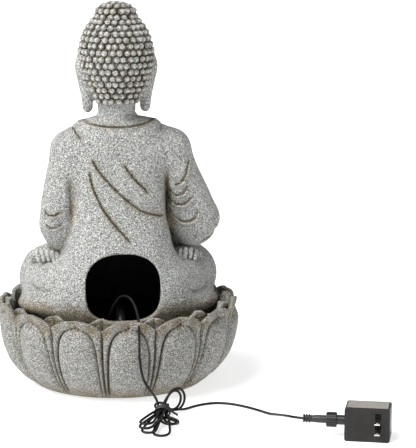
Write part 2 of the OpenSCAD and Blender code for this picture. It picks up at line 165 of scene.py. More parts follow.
def curve_through(pts, steps):
    """Points of a smooth curve through the given rows, with steps rows between each pair."""
    pts = np.array(pts, float)
    if len(pts) < 3 or steps < 2:
        return pts
    ends = np.vstack([2 * pts[0] - pts[1], pts, 2 * pts[-1] - pts[-2]])
    rows = []
    for i in range(len(pts) - 1):
        p0, p1, p2, p3 = ends[i : i + 4]
        for t in np.arange(steps) / steps:
            rows.append(
                0.5 * (2 * p1 + (p2 - p0) * t + (2 * p0 - 5 * p1 + 4 * p2 - p3) * t**2
                       + (3 * p1 - p0 - 3 * p2 + p3) * t**3)
            )
    rows.append(pts[-1])
    return np.array(rows)


def surface_net(d, place):
    """Vertices and quads of the surface where d is 0. place maps grid positions to millimetres."""
    inside = d < 0
    n = [s - 1 for s in d.shape]
    count = np.zeros(n, np.int8)
    corners = [(i, j, k) for i in (0, 1) for j in (0, 1) for k in (0, 1)]
    for i, j, k in corners:
        count += inside[i : i + n[0], j : j + n[1], k : k + n[2]]
    cell = np.stack(np.nonzero((count > 0) & (count < 8)), 1)
    index = np.full(n, -1, np.int32)
    index[tuple(cell.T)] = np.arange(len(cell))
    total = np.zeros((len(cell), 3), np.float32)
    hits = np.zeros(len(cell), np.float32)
    for corner in corners:
        for axis in range(3):
            if corner[axis]:
                continue
            a = cell + corner
            b = a.copy()
            b[:, axis] += 1
            da, db = d[tuple(a.T)], d[tuple(b.T)]
            cross = (da < 0) != (db < 0)
            t = np.where(cross, da / np.where(cross, da - db, 1), 0)
            point = np.array(corner, np.float32)[None] + np.zeros_like(total)
            point[:, axis] += t
            total += point * cross[:, None]
            hits += cross
    verts = place(cell + total / hits[:, None])
    quads = []
    for axis in range(3):
        u, v = (axis + 1) % 3, (axis + 2) % 3
        low = [slice(None)] * 3
        low[axis] = slice(0, -1)
        high = [slice(None)] * 3
        high[axis] = slice(1, None)
        edge = np.stack(np.nonzero(inside[tuple(low)] != inside[tuple(high)]), 1)
        edge = edge[(edge[:, u] > 0) & (edge[:, v] > 0) & (edge[:, u] < n[u]) & (edge[:, v] < n[v])]
        ring = []
        for du, dv in ((1, 1), (0, 1), (0, 0), (1, 0)):
            c = edge.copy()
            c[:, u] -= du
            c[:, v] -= dv
            ring.append(index[tuple(c.T)])
        ring = np.stack(ring, 1)
        outward = inside[tuple(edge.T)]
        ring[~outward] = ring[~outward][:, ::-1]
        quads.append(ring)
    return verts, np.concatenate(quads)


def sphere_directions(count=36):
    """Directions spread evenly over a sphere."""
    i = np.arange(count) + 0.5
    polar, turn = np.arccos(1 - 2 * i / count), np.pi * (1 + 5**0.5) * i
    return np.stack([np.cos(turn) * np.sin(polar), np.sin(turn) * np.sin(polar), np.cos(polar)], 1)


def buried(clay, verts, radius):
    """How much of the space around each vertex is solid: 0.5 on a flat face, 1 deep in a crevice."""
    shape = np.array(clay.d.shape) - 1
    total = np.zeros(len(verts), np.float32)
    directions = sphere_directions()
    for direction in directions:
        cell = np.rint((verts + direction * radius - clay.low) / clay.step).astype(int)
        value = clay.d[tuple(np.clip(cell, 0, shape).T)]
        total += np.clip(0.5 - value / (0.8 * radius), 0, 1)
    return total / len(directions)


def add_object(name, data):
    obj = bpy.data.objects.new(name, data)
    bpy.context.scene.collection.objects.link(obj)
    return obj


def mesh_object(name, verts, faces):
    """A new smooth-shaded object from vertices in metres."""
    mesh = bpy.data.meshes.new(name)
    faces = np.asarray(faces, np.int32)
    mesh.vertices.add(len(verts))
    mesh.vertices.foreach_set("co", np.asarray(verts, np.float32).ravel())
    mesh.loops.add(faces.size)
    mesh.loops.foreach_set("vertex_index", faces.ravel())
    mesh.polygons.add(len(faces))
    mesh.polygons.foreach_set("loop_start", np.arange(len(faces), dtype=np.int32) * faces.shape[1])
    mesh.polygons.foreach_set("use_smooth", np.ones(len(faces), bool))
    mesh.update(calc_edges=True)
    mesh.validate()
    return add_object(name, mesh)


def face_outward(obj, close=False):
    """Turns every face outward, and first closes the mesh's open ends if asked."""
    bm = bmesh.new()
    bm.from_mesh(obj.data)
    if close:
        bmesh.ops.holes_fill(bm, edges=[e for e in bm.edges if e.is_boundary], sides=0)
    bmesh.ops.recalc_face_normals(bm, faces=bm.faces)
    bm.to_mesh(obj.data)
    bm.free()


def shade_smooth(obj):
    obj.data.polygons.foreach_set("use_smooth", np.ones(len(obj.data.polygons), bool))


def paint(obj, **layers):
    """Stores values per vertex, which the materials read by name."""
    for name, values in layers.items():
        layer = obj.data.attributes.new(name, "FLOAT", "POINT")
        layer.data.foreach_set("value", np.asarray(values, np.float32))


# ---------------------------------------------------------------- lines drawn on the clay


class Relief:
    """A height map over x and z that is pressed into the back (+Y) or front (-Y) of the clay."""

    def __init__(self, clay):
        self.clay = clay
        self.x, self.z = np.meshgrid(clay.axes[0], clay.axes[2], indexing="ij")
        self.h = np.zeros_like(self.x)
        # painted shade in the lines, ochre and painted shade beside them, and painted highlight on ridge lips
        self.dark = np.zeros_like(self.x)
        self.ochre_and_shade = np.zeros_like(self.x)
        self.bright = np.zeros_like(self.x)

    def near(self, points):
        """Distance to a curve, its side (positive to the left of its run) and the place along it, 0 to 1."""
        pts = curve_through(np.array(points, float), 6)
        best = np.full(self.x.shape, 1e3, np.float32)
        side = np.zeros_like(best)
        place = np.zeros_like(best)
        lengths = np.linalg.norm(np.diff(pts, axis=0), axis=1)
        run = np.concatenate([[0], np.cumsum(lengths)]) / lengths.sum()
        for i, (a, b) in enumerate(zip(pts[:-1], pts[1:])):
            ab = b - a
            t = np.clip(((self.x - a[0]) * ab[0] + (self.z - a[1]) * ab[1]) / (ab @ ab), 0, 1)
            dx, dz = self.x - a[0] - t * ab[0], self.z - a[1] - t * ab[1]
            far = np.hypot(dx, dz)
            closer = far < best
            best = np.where(closer, far, best)
            side = np.where(closer, np.sign(ab[0] * dz - ab[1] * dx), side)
            place = np.where(closer, run[i] + t * (run[i + 1] - run[i]), place)
        return best, side, place

    def crease(self, points, deep=1.6, wide=1.5, lift=1.4, spread=14.0, taper=0.25):
        """A sharp fold line: a thin groove, with the cloth on the left of its run raised to a soft lip."""
        far, side, place = self.near(points)
        ends = smooth_step(np.minimum(place, 1 - place), 0, taper)
        lip = np.where(side > 0, lift * np.exp(-far / spread), 0)
        self.h += ends * (lip - deep * np.exp(-((far / wide) ** 2)))
        # painted shade in the groove, and ochre with painted shade beside it
        self.dark = np.maximum(self.dark, ends * np.exp(-((far / (0.8 * wide)) ** 2)) * min(1, deep / 2.2))
        self.ochre_and_shade = np.maximum(self.ochre_and_shade, ends * np.exp(-far / 3.2) * min(1, deep / 3))

    def ridge(self, points, high=1.5, wide=2.5, taper=0.25):
        """A soft raised fold, with a painted highlight along its lip."""
        far, _, place = self.near(points)
        ends = np.clip(np.minimum(place, 1 - place) / taper, 0, 1)
        self.h += high * np.exp(-((far / wide) ** 2)) * ends
        self.bright = np.maximum(self.bright, np.exp(-((far / 1.5) ** 2)) * ends)

    def fade(self, y):
        """How much of the map applies at a y: 0 at start, 1 at full."""
        return smooth_step(y, self.start, self.full)

    def press(self, start, full):
        """Moves the surface out by the map, fading in from y = start to y = full."""
        self.start, self.full = start, full
        fade = self.fade(self.clay.axes[1]).astype(np.float32)
        for j in np.nonzero(fade > 0)[0]:
            self.clay.d[:, j, :] -= self.h * fade[j]
        return self

    def lines_at(self, verts):
        """At each vertex, 0 to 1: how much painted shade lies in the lines, how much ochre and painted shade
        lies beside them and how much painted highlight lies on their lips.
        """
        cell = np.rint((verts - self.clay.low) / self.clay.step).astype(int)
        fade = self.fade(verts[:, 1])
        return [layer[cell[:, 0], cell[:, 2]] * fade for layer in (self.dark, self.ochre_and_shade, self.bright)]


# ---------------------------------------------------------------- the figure's body


def ellipse_distance(x, y, a, b, power):
    """How far outside an upright oval of half-widths a and b a point lies, along the ray from its centre."""
    reach = np.hypot(x, y) + 1e-6
    level = ((np.abs(x) / a) ** power + (np.abs(y) / b) ** power) ** (1 / power)
    return reach - reach / np.maximum(level, 1e-6)


# The torso's oval at each height: its half-width, and where its back and its front are
TORSO = {
    "z": [60, 96, 120, 145, 165, 185, 205, 230, 260, 290, 306, 320, 332, 340],
    "half": [86, 92, 93, 87, 77, 69.5, 66, 63, 64, 68, 70, 64, 54, 44],
    "back": [84, 85, 85, 83, 79, 71, 63, 56, 51.5, 47.5, 44.5, 40, 34, 29],
    "front": [-60, -66, -66, -58, -46, -38, -36, -38, -43, -47, -46, -40, -32, -26],
}


def torso_wall(x, y, z, inset=0.0):
    """How far outside the torso's oval a point lies, with the oval smaller by inset all round."""
    half, back, front = (np.interp(z, TORSO["z"], TORSO[k]) for k in ("half", "back", "front"))
    middle, deep = (back + front) / 2, (back - front) / 2
    return ellipse_distance(x, y - middle, half - inset, deep - inset, 2.5)


def torso(x, y, z):
    low, high = TORSO["z"][0], TORSO["z"][-1]
    return np.maximum(torso_wall(x, y, z), np.maximum(z - high, low - z)).astype(np.float32)


def shoulders_and_arms(clay):
    clay.limb([[60, 6, 308, 26], [40, 4, 315, 27], [0, 2, 319, 29], [-42, 4, 316, 27], [-70, 6, 308, 26]], 22)
    clay.egg([-1, 4, 322], [62, 33, 30], 12)
    clay.egg([0, -8, 286], [62, 42, 40], 18)
    left = [[60, 6, 308, 26.5], [68, 8, 275, 25], [74, 9, 240, 26], [74, 5, 213, 27]]
    right = [[-68, 6, 308, 27], [-81, 8, 276, 25.5], [-95, 9, 244, 26.5], [-105, 5, 215, 28.5]]
    clay.limb(left, 5)
    clay.limb(right, 5)
    clay.limb([[75, 4, 212, 26], [72, -30, 203, 22], [48, -62, 196, 16.5]], 8)
    clay.limb([[-105, 4, 214, 27.5], [-88, -32, 203, 22], [-50, -64, 196, 16.5]], 8)
    clay.limb([[73, 0, 196, 21], [70, -26, 190, 19], [60, -50, 184, 17]], 9)
    clay.limb([[-100, 0, 200, 23], [-88, -26, 192, 20], [-66, -50, 184, 17]], 9)
    clay.egg([-80, -4, 232], [19, 21, 36], 8)


def legs(clay):
    knees = [[87, -40, 130, 36.5], [-95, -40, 130, 36.5]]
    corners = [[91, -34, 138, 31], [-99, -34, 139, 31.5]]
    for s, knee, corner in zip((1, -1), knees, corners):
        clay.limb([[s * 50, 34, 120, 47], [s * 77, 4, 125, 41], knee], 14)
        clay.egg(corner[:3], [corner[3]] * 3, 12)
        clay.limb([knee, [s * 52, -76, 124, 33], [s * 8, -92, 122, 30]], 16)
    clay.limb([[60, -50, 140, 26], [20, -84, 146, 20], [-14, -98, 143, 15]], 12)
    clay.egg([0, -40, 130], [70, 60, 38], 14)
    clay.egg([0, 6, 108], [132, 83, 26], 14)


def pleats(clay, path, ribs, size, drop):
    """The pleated hem of a sleeve: ribs side by side along a path, each bent down over the thigh."""
    pts = curve_through(np.array(path, float), 20)
    run = np.concatenate([[0], np.cumsum(np.linalg.norm(np.diff(pts[:, :3], axis=0), axis=1))])
    for i in range(ribs):
        s = run[-1] * (i + 0.5) / ribs
        x, y, z = (np.interp(s, run, pts[:, k]) for k in range(3))
        rib = [
            [x + 0.9 * drop, y - 4, z - 2.5, 0.8 * size], [x + 0.4 * drop, y + 1, z - 2, 0.97 * size],
            [x - 0.2 * drop, y + 4, z - 6, size], [x - 0.8 * drop, y + 6, z - 11, 0.85 * size],
        ]
        clay.limb(rib, 0.4, steps=4)


# Each hem: two corners of its block, the ribs' path, number, radius and slant, and the cloth under them
HEMS = {
    "hem_left": (
        [52, -30, 140], [126, 36, 196],
        [[71, 11, 170.5], [90, 10, 177], [109, 5, 175.5]], 6, 3.15, 1.5,
        [[68, -2, 164, 8], [90, -4, 168, 8], [109, -9, 165, 7]],
    ),
    "hem_right": (
        [-124, -30, 140], [-64, 36, 196],
        [[-78, 10, 173], [-92, 9, 176], [-105, 4, 171]], 4, 3.1, -1.5,
        [[-76, -4, 166, 7.5], [-92, -6, 169, 7.5], [-107, -11, 163, 6.5]],
    ),
}


def make_hem(name):
    low, high, path, ribs, size, drop, cloth = HEMS[name]
    clay = Clay(low, high, 0.8)
    clay.limb(cloth, 2)
    pleats(clay, path, ribs, size, drop)
    return finish_clay(name, clay)


def back_folds(clay):
    relief = Relief(clay)
    # short creases on the shoulders
    relief.crease([(60, 341), (55, 334), (48, 323)], 2.2, 1.7, 0.8)
    relief.crease([(-64, 345), (-59, 341), (-53, 333)], 1.5, 1.7, 0.4)
    # the three long folds across the back
    first = [(39, 308), (27, 285), (2, 257), (-23, 236), (-42, 228), (-64, 223)]
    second = [(41, 290), (35, 264), (23, 237), (6, 214), (-4, 203), (-14, 191)]
    relief.crease(first, 3.0, 1.5, 3.0, 18, 0.1)
    relief.crease(second, 3.0, 1.5, 3.0, 16, 0.1)
    relief.crease([(-2, 297), (-19, 274), (-38, 254)], 2.8, 1.5, 2.4, 12, 0.12)
    # where the arms lie against the body
    relief.crease([(66, 290), (64.5, 264), (63, 236), (62, 206)], 1.4, 4.0, 0, taper=0.3)
    relief.crease([(-62, 286), (-63, 258), (-63, 230), (-64, 200)], 1.6, 3.6, 0, taper=0.25)
    # crescent folds down the sleeves, each with a bright lower lip
    right = [
        [(-69, 262), (-80, 267), (-88, 280), (-91.5, 297)],
        [(-65, 259), (-72, 250), (-82, 252), (-90, 264)],
        [(-65, 247), (-71, 239), (-83, 238), (-97, 250)],
        [(-66, 234), (-73, 220), (-85, 214), (-98, 219), (-103, 232)],
    ]
    left = [[(97, 233), (92, 227), (84, 227), (76, 232)], [(96, 215), (89, 210), (80, 212), (73, 218)]]
    for line in right + left:
        relief.crease(line, 2.4, 1.6, 0, taper=0.12)
    for line in right:
        relief.ridge([(x - 1.2, z - 2.6) for x, z in line], 4.2, 2.0, 0.2)
    for line in left:
        relief.ridge([(x, z - 2.8) for x, z in line], 2.6, 2.0, 0.3)
    # under the right elbow
    relief.crease([(-104, 186), (-116, 189), (-127, 198), (-134, 214)], 2.4, 1.8, 0)
    # shallow folds on the thighs
    relief.crease([(118, 141), (110, 133), (98, 131), (86, 136)], 1.3, 2.2, 1.4, 8)
    relief.crease([(112, 120), (102, 114), (90, 112), (76, 118)], 1.3, 2.2, 1.4, 8)
    relief.crease([(-122, 136), (-112, 128), (-98, 126), (-84, 131)], 1.0, 2.4, 1.2, 8)
    return relief.press(-26, -4)


def column_at(clay, x, z):
    """The clay's distances along Y through an x and z."""
    i, k = (int(round((v - low) / clay.step)) for v, low in ((x, clay.low[0]), (z, clay.low[2])))
    return clay.d[i, :, k]


def on_back(clay, x, z):
    """The y of the surface that faces +Y at an x and z."""
    column = column_at(clay, x, z)
    solid = np.nonzero(column < 0)[0]
    if not len(solid):
        return 0.0
    j = solid[-1]
    after = column[min(j + 1, len(column) - 1)]
    return float(clay.axes[1][j] + clay.step * column[j] / min(column[j] - after, -1e-6))


def on_front(clay, x, z):
    """The y of the first grid point inside the surface that faces -Y at an x and z."""
    solid = np.nonzero(column_at(clay, x, z) < 0)[0]
    return float(clay.axes[1][solid[0]]) if len(solid) else 0.0


class Seam:
    """A line drawn in space on the clay, painted dark as shade, with ochre and painted shade beside it."""

    def __init__(self, spots, wide=1.7):
        self.spots = curve_through(np.array(spots, float), 5)
        self.wide = wide

    def lines_at(self, verts):
        reach = 4 * self.wide
        low, high = self.spots.min(0) - reach, self.spots.max(0) + reach
        around = np.nonzero(((verts > low) & (verts < high)).all(1))[0]
        dark, ochre_and_shade = np.zeros(len(verts)), np.zeros(len(verts))
        far = np.linalg.norm(verts[around][:, None] - self.spots[None], axis=2).min(1)
        dark[around], ochre_and_shade[around] = np.exp(-((far / self.wide) ** 2)), np.exp(-far / (2 * self.wide))
        return dark, ochre_and_shade, np.zeros(len(verts))


def collar(clay):
    """The robe's edge across the back of the neck: a raised hem with a groove above it, painted dark as
    shade.
    """
    line = [(50, 349), (35, 344.5), (18, 341.5), (0, 340.5), (-18, 341.5), (-35, 344.5), (-52, 349)]
    pts = curve_through(np.array(line, float), 3)
    spots = [[x, on_back(clay, x, z), z] for x, z in pts]
    clay.limb([[x, y - 0.8, z - 3.8, 3.2 - 0.0010 * x * x] for x, y, z in spots], 3, steps=1)
    clay.limb([[x, y + 0.2, z + 0.4, 1.7] for x, y, z in spots], 0.6, -1, steps=1)
    return Seam([[x, y - 0.8, z + 0.2] for x, y, z in spots])


# ---------------------------------------------------------------- the lead

LEAD_D = 3.2
WRAP = np.array([-36.0, 200.0])  # middle of the tied part of the hank
NEAR = np.array([0.25, 0.968])  # along the hank, towards its loose loops
OUT = np.array([-0.968, 0.25])  # across the hank, towards the adapter
WRAP_HALF = 9.0  # half the tied part's length

PUMP_LEAD = [
    [24, 14, 74], [24, 16, 82], [23, 24, 87], [21, 38, 88], [20, 52, 90], [18, 62, 98],
    [14, 72, 112], [8, 82, 126], [1, 94, 133], [-6, 106, 132], [-10, 120, 126], [-12, 136, 118],
    [-12, 148, 114.5], [-12, 154, 112], [-12, 156.6, 106], [-12, 157, 94], [-12, 157, 76],
    [-13, 157, 60], [-15, 158, 46], [-19, 160, 34], [-25, 165, 26], [-31, 176, 19],
]
PLUG_LEAD = [
    [-44, 183.5, 6.5], [-55, 180, 5], [-66, 173, 3], [-74, 163, 1.8], [-84, 155, 1.8], [-96, 149, 1.8],
    [-111, 146, 1.8], [-127, 152, 1.8], [-143, 166, 1.8], [-158, 185, 1.8], [-168, 204, 2.6],
    [-173, 224, 7], [-176, 244, 12], [-178, 260, 16], [-180, 272, 18.8], [-184, 282, 20.4],
    [-190, 288.4, 21], [-195.2, 290.8, 21],
]
# Each loose loop at the near end: where its tip is, and how wide it opens there
NEAR_LOOPS = [
    [-7, 262, 12.5, 8.5], [-5, 268, 8.8, 8.5], [-9, 275, 5.2, 9], [-25, 279, 2.0, 10.5],
    [-45, 244, 5.4, 8.5], [-50, 232, 2.0, 8.5],
]
# Each loop at the far end: the middle of its ring, its radius and its lean away from the camera
RING_SIDE = np.array([-0.82, -0.57])
FAR_LOOPS = [[-55, 178, 18.2, 14.6, 1.5], [-53.5, 180.5, 17.2, 13.0, -1.8]]
# The tips of the short folds behind the tied part
FOLDS = [[-41, 172, 9], [-33, 172, 13], [-38, 173, 5]]


def strand(slot, side):
    """Where a pass of the lead enters (side -1) or leaves (side 1) the tied part, far end to near end."""
    row, column = divmod(slot, 4)
    across = (column - 1.5) * 3.5 + (0.9 if row % 2 else -0.9)
    at = WRAP + side * WRAP_HALF * NEAR + across * OUT
    return [*at, 12.6 - 3.3 * row]


def arc(middle, tip, wide, side, share, turns):
    """Out from middle, round a half circle of radius wide that ends at tip, and back."""
    along = tip - middle
    length = np.linalg.norm(along)
    centre = middle + along * (1 - wide / length)
    forward = along / length
    pts = [middle + along * share + side * wide * 0.62]
    for a in np.radians(turns):
        pts.append(centre + wide * (side * math.cos(a) + forward * math.sin(a)))
    pts.append(middle + along * share - side * wide * 0.62)
    return [list(p) for p in pts]


def near_loop(start, end, tip):
    """A flat teardrop from start round its tip and back to end."""
    start, end, peak = np.array(start), np.array(end), np.array(tip[:3])
    middle = (start + end) / 2
    along = peak - middle
    side = np.array([-along[1], along[0], 0]) / np.linalg.norm(along[:2])
    if (start - end) @ side < 0:
        side = -side
    return arc(middle, peak, tip[3], side, 0.3, range(-15, 196, 30))


def far_loop(ring):
    """A standing ring, entered from the tied part and left back to it."""
    x, y, z, r, lean = ring
    away = np.array([RING_SIDE[1], -RING_SIDE[0]])
    pts = []
    for step in range(11):
        turn = math.radians(155 - 29 * step)
        across, up = r * math.cos(turn), r * math.sin(turn)
        at = np.array([x, y]) + RING_SIDE * across + away * lean * (1 + 0.12 * (step - 5))
        pts.append([*at, z + up])
    return pts


def fold(start, end, tip):
    """A short upright fold close behind the tied part."""
    start, end, tip = np.array(start), np.array(end), np.array(tip)
    side = (start - end) / max(np.linalg.norm(start - end), 1e-6)
    return arc((start + end) / 2, tip, 7.5, side, 0.25, range(-10, 191, 40))


def soften(pts, spacing=2.0, passes=14):
    """The line at even spacing, with its sharp bends eased as a real lead eases them."""
    run = np.concatenate([[0], np.cumsum(np.linalg.norm(np.diff(pts, axis=0), axis=1))])
    even = np.linspace(0, run[-1], int(run[-1] / spacing) + 1)
    pts = np.stack([np.interp(even, run, pts[:, k]) for k in range(3)], 1)
    for _ in range(passes):
        pts[1:-1] = 0.5 * pts[1:-1] + 0.25 * (pts[:-2] + pts[2:])
    return pts


def lead_route():
    """The whole lead: pump, over the rim, in and out of the hank six times, and on to the connector."""
    route = [list(p) for p in PUMP_LEAD]
    for turn, tip in enumerate(NEAR_LOOPS):
        out, back = 2 * turn, 2 * turn + 1
        route += [strand(out, -1), strand(out, 0), strand(out, 1)]
        route += near_loop(strand(out, 1), strand(back, 1), tip)
        route += [strand(back, 1), strand(back, 0), strand(back, -1)]
        if turn < len(NEAR_LOOPS) - 1:
            if turn in (0, 2):
                route += far_loop(FAR_LOOPS[turn // 2])
            else:
                route += fold(strand(back, -1), strand(out + 2, -1), FOLDS[turn // 2])
    return soften(curve_through(np.array(route + [list(p) for p in PLUG_LEAD], float), 5))


def tube(name, pts, radius, sides=3):
    """A round cord along a line of points in millimetres."""
    curve = bpy.data.curves.new(name, "CURVE")
    curve.dimensions = "3D"
    curve.bevel_depth = radius * MM
    curve.bevel_resolution = sides
    curve.use_fill_caps = True
    spline = curve.splines.new("POLY")
    spline.points.add(len(pts) - 1)
    flat = np.hstack([np.asarray(pts, float) * MM, np.ones((len(pts), 1))])
    spline.points.foreach_set("co", flat.ravel())
    spline.use_smooth = True
    return add_object(name, curve)


LEAD_PTS = lead_route()
lead = tube("lead", LEAD_PTS, LEAD_D / 2)


# ---------------------------------------------------------------- plinth, hollow and port

WALL = 7.0
PLINTH_R, PLINTH_Y, PLINTH_Z = 92.0, -8.0, (14, 112)
HOLLOW_Z, BASE_TOP = (5, 196), 96  # the base of the hollow is as wide as the plinth allows
PORT_HALF, PORT_Z = (48.5, 42.5), 139.0


def plinth_and_cavity(clay):
    """The round plinth under the figure, the hollow inside it, and the access port through its back."""
    clay.blend([-92, -100, 14], [92, 84, 112], plinth, 6, 1, clay.REACH)
    clay.blend([-92, -100, 0], [92, 90, 200], hollow, 0, -1, 2)
    clay.blend([-49, 20, 96], [49, 110, 184], port, 1.5, -1, 3)


def plinth(x, y, z):
    side = np.hypot(x, y - PLINTH_Y) - PLINTH_R
    return np.maximum(side, np.maximum(PLINTH_Z[0] - z, z - PLINTH_Z[1])).astype(np.float32)


def hollow_wall(x, y, z):
    """How far outside the hollow's side walls a point lies."""
    body = torso_wall(x, y, z, WALL)
    base = np.hypot(x, y - PLINTH_Y) - (PLINTH_R - WALL)
    return np.where(z < BASE_TOP, np.minimum(base, body), body)


def hollow(x, y, z):
    """The hollow that the pump stands in: below 0 is empty space."""
    ends = np.maximum(z - HOLLOW_Z[1], HOLLOW_Z[0] - z)
    return np.maximum(hollow_wall(x, y, z), ends).astype(np.float32)


def hollow_mark(v):
    """1 on the walls of the hollow, 0 outside: where the hollow is painted near-black as shade."""
    return np.clip(1.6 - hollow_wall(*v.T), 0, 1) * (v[:, 2] < HOLLOW_Z[1] + 3)


def port(x, y, z):
    """The opening: round at the top, squarer at the foot."""
    round_top, square_foot = (ellipse_distance(x, z - PORT_Z, *PORT_HALF, power) for power in (2.4, 3.1))
    outside = np.where(z > PORT_Z, round_top, square_foot)
    return np.maximum(outside + 0 * y, 20 - y).astype(np.float32)


def knee_cloth(clay):
    """The cloth of the sleeves where it lies on the thighs, in front of the pleated hems."""
    clay.limb([[62, -22, 168, 14], [88, -32, 165, 13], [106, -42, 156, 10]], 9)
    clay.limb([[70, -6, 163, 8], [90, -10, 165, 8], [108, -16, 161, 7]], 4)
    clay.limb([[-74, -30, 168, 14], [-96, -34, 165, 12], [-110, -44, 155, 9]], 9)
    clay.limb([[-78, -8, 164, 7], [-104, -14, 162, 6.5]], 4)


def front_folds(clay):
    """Hanging folds down the chest, and folds along the crossed legs."""
    relief = Relief(clay)
    for level, width in ((322, 40), (306, 44), (288, 47), (270, 48), (252, 46), (234, 40)):
        drop = 15 + 0.28 * (322 - level)
        half = [(0.55 * width, level + 0.25 * drop), (width, level + drop)]
        line = [*half[::-1], (0, level), *[(-x, z) for x, z in half]]
        relief.crease(line, 1.7, 1.5, 2.2, 9, 0.12)
    for s in (1, -1):
        for k, (low, far) in enumerate(((150, 104), (138, 98), (124, 90), (110, 78))):
            line = [(s * 8, low - 8), (s * 0.5 * far, low - 4 + 2 * k), (s * far, low + 6)]
            relief.crease(line[::s], 1.2, 1.6, 1.8, 8, 0.2)
    return relief.press(-32, -44)


SPILL_Y = -80  # the middle of the spill bowl


def hand(clay, s):
    """One hand under the spill bowl, with its sleeve's end: s is 1 for the hand at +X."""
    palm = [[s * 42, -63, 191, 15], [s * 33, -72, 184, 13.5], [s * 20, -84, 176, 11]]
    clay.limb(palm, 5, flat=((0.5 * s, 0.6, 0.6), 0.75))
    clay.limb([[s * 50, -56, 196, 18.5], [s * 45, -62, 193, 17.5]], 1.5)
    clay.limb([[s * 52, -55, 196, 15], [s * 40, -66, 190, 12]], 2, -1)
    clay.limb([[s * 48, -58, 193, 13], [s * 38, -68, 188, 11.5], [s * 30, -76, 182, 11.5]], 3)
    for i in range(4):
        z = 178 + 7.0 * i
        r = 4.4 - 0.25 * abs(i - 1.5)
        ring = 19.5 + 2.1 * i
        pts = []
        for step, turn in enumerate((-8, 18, 44, 66 + 3 * i)):
            a = math.radians(turn)
            x, y = s * ring * math.cos(a), SPILL_Y - ring * math.sin(a)
            pts.append([x, y, z - 1.2 * step * (1.3 - 0.4 * i), r - 0.35 * step])
        clay.limb(pts, 1.2)
    thumb = [[34, -66, 190, 6.5], [31, -72, 198, 5.4], [27.5, -82, 204.5, 4.6], [24, -89, 206, 4.1]]
    clay.limb([[s * x, *rest] for x, *rest in thumb], 2)


def foot(clay):
    """The upturned foot that shows on the crossed legs, with its toes."""
    sole = [[-30, -86, 158, 8], [-8, -98, 156, 9.5], [22, -100, 154, 10], [44, -90, 152, 9]]
    clay.limb(sole, 3, flat=((0, 0.3, 0.95), 0.7))
    for i in range(5):
        x = 47 + 2.0 * i
        clay.egg([x - 0.8 * i, -88 + 3.2 * i, 156.5 - 1.9 * i], [5.2 - 0.45 * i, 3.6, 3.8 - 0.2 * i], 0.9)


def make_body():
    clay = Clay([-146, -122, 12], [146, 100, 356], 1.5)
    clay.blend([-100, -80, 60], [100, 95, 340], torso, 0, 1, 10)
    shoulders_and_arms(clay)
    legs(clay)
    knee_cloth(clay)
    foot(clay)
    clay.limb([[0, 3, 325, 26], [0, 3, 364, 24]], 9)
    drawn = [front_folds(clay), back_folds(clay)]
    drawn.append(collar(clay))
    plinth_and_cavity(clay)
    for s in (1, -1):
        hand(clay, s)
    return finish_clay("figure_body", clay, hollow_mark, drawn, low_ochre=(104, 128))


MOST_TRIANGLES = 190000


def finish_clay(name, clay, mark=None, drawn=(), low_ochre=None):
    """The clay as an object, with its crevices noted for the stone's painted shade, painted highlights and
    ochre.

    mark gives the hollow's share at each vertex, painted near-black as shade, drawn holds the lines on the
    clay, and the last argument is the two heights between which the added ochre and darkening fade out
    upward.
    """
    d = clay.d
    for axis in range(3):
        edge = [slice(None)] * 3
        for end in (0, -1):
            edge[axis] = end
            d[tuple(edge)] = np.maximum(d[tuple(edge)], 0.5 * clay.step)
    verts, quads = surface_net(d, lambda g: clay.low + g * clay.step)
    obj = mesh_object(name, verts * MM, quads)
    if 2 * len(quads) > MOST_TRIANGLES:
        thin = obj.modifiers.new("thin", "DECIMATE")
        thin.ratio = MOST_TRIANGLES / (2 * len(quads))
        bake_modifiers(obj)
        verts = np.empty(len(obj.data.vertices) * 3, np.float32)
        obj.data.vertices.foreach_get("co", verts)
        verts = verts.reshape(-1, 3) / MM
    shade_smooth(obj)
    # near gives painted shade in crevices and lines, lowered on ridge lips for painted highlight; deep gives
    # ochre, partly patina and partly painted shade
    near, deep = buried(clay, verts, 3.2), buried(clay, verts, 10)
    for lines in drawn:
        dark, ochre_and_shade, bright = lines.lines_at(verts)
        near = np.maximum(near, 0.5 + 0.45 * dark) - 0.22 * bright
        deep = np.maximum(deep, 0.5 + 0.24 * ochre_and_shade)
    # darker and more ochre towards the bottom of the figure
    if low_ochre:
        deep = np.maximum(deep, 0.5 + 0.20 * smooth_step(-verts[:, 2], -low_ochre[1], -low_ochre[0]))
    paint(obj, near=near, deep=deep)
    # the hollow's walls, painted near-black as shade
    paint(obj, inner=mark(verts) if mark else np.zeros(len(verts)))
    return obj


def bake_modifiers(obj):
    """Replaces the object's mesh with what its modifiers make of it."""
    graph = bpy.context.evaluated_depsgraph_get()
    mesh = bpy.data.meshes.new_from_object(obj.evaluated_get(graph))
    obj.modifiers.clear()
    old = obj.data
    obj.data = mesh
    bpy.data.meshes.remove(old)


# ---------------------------------------------------------------- the head


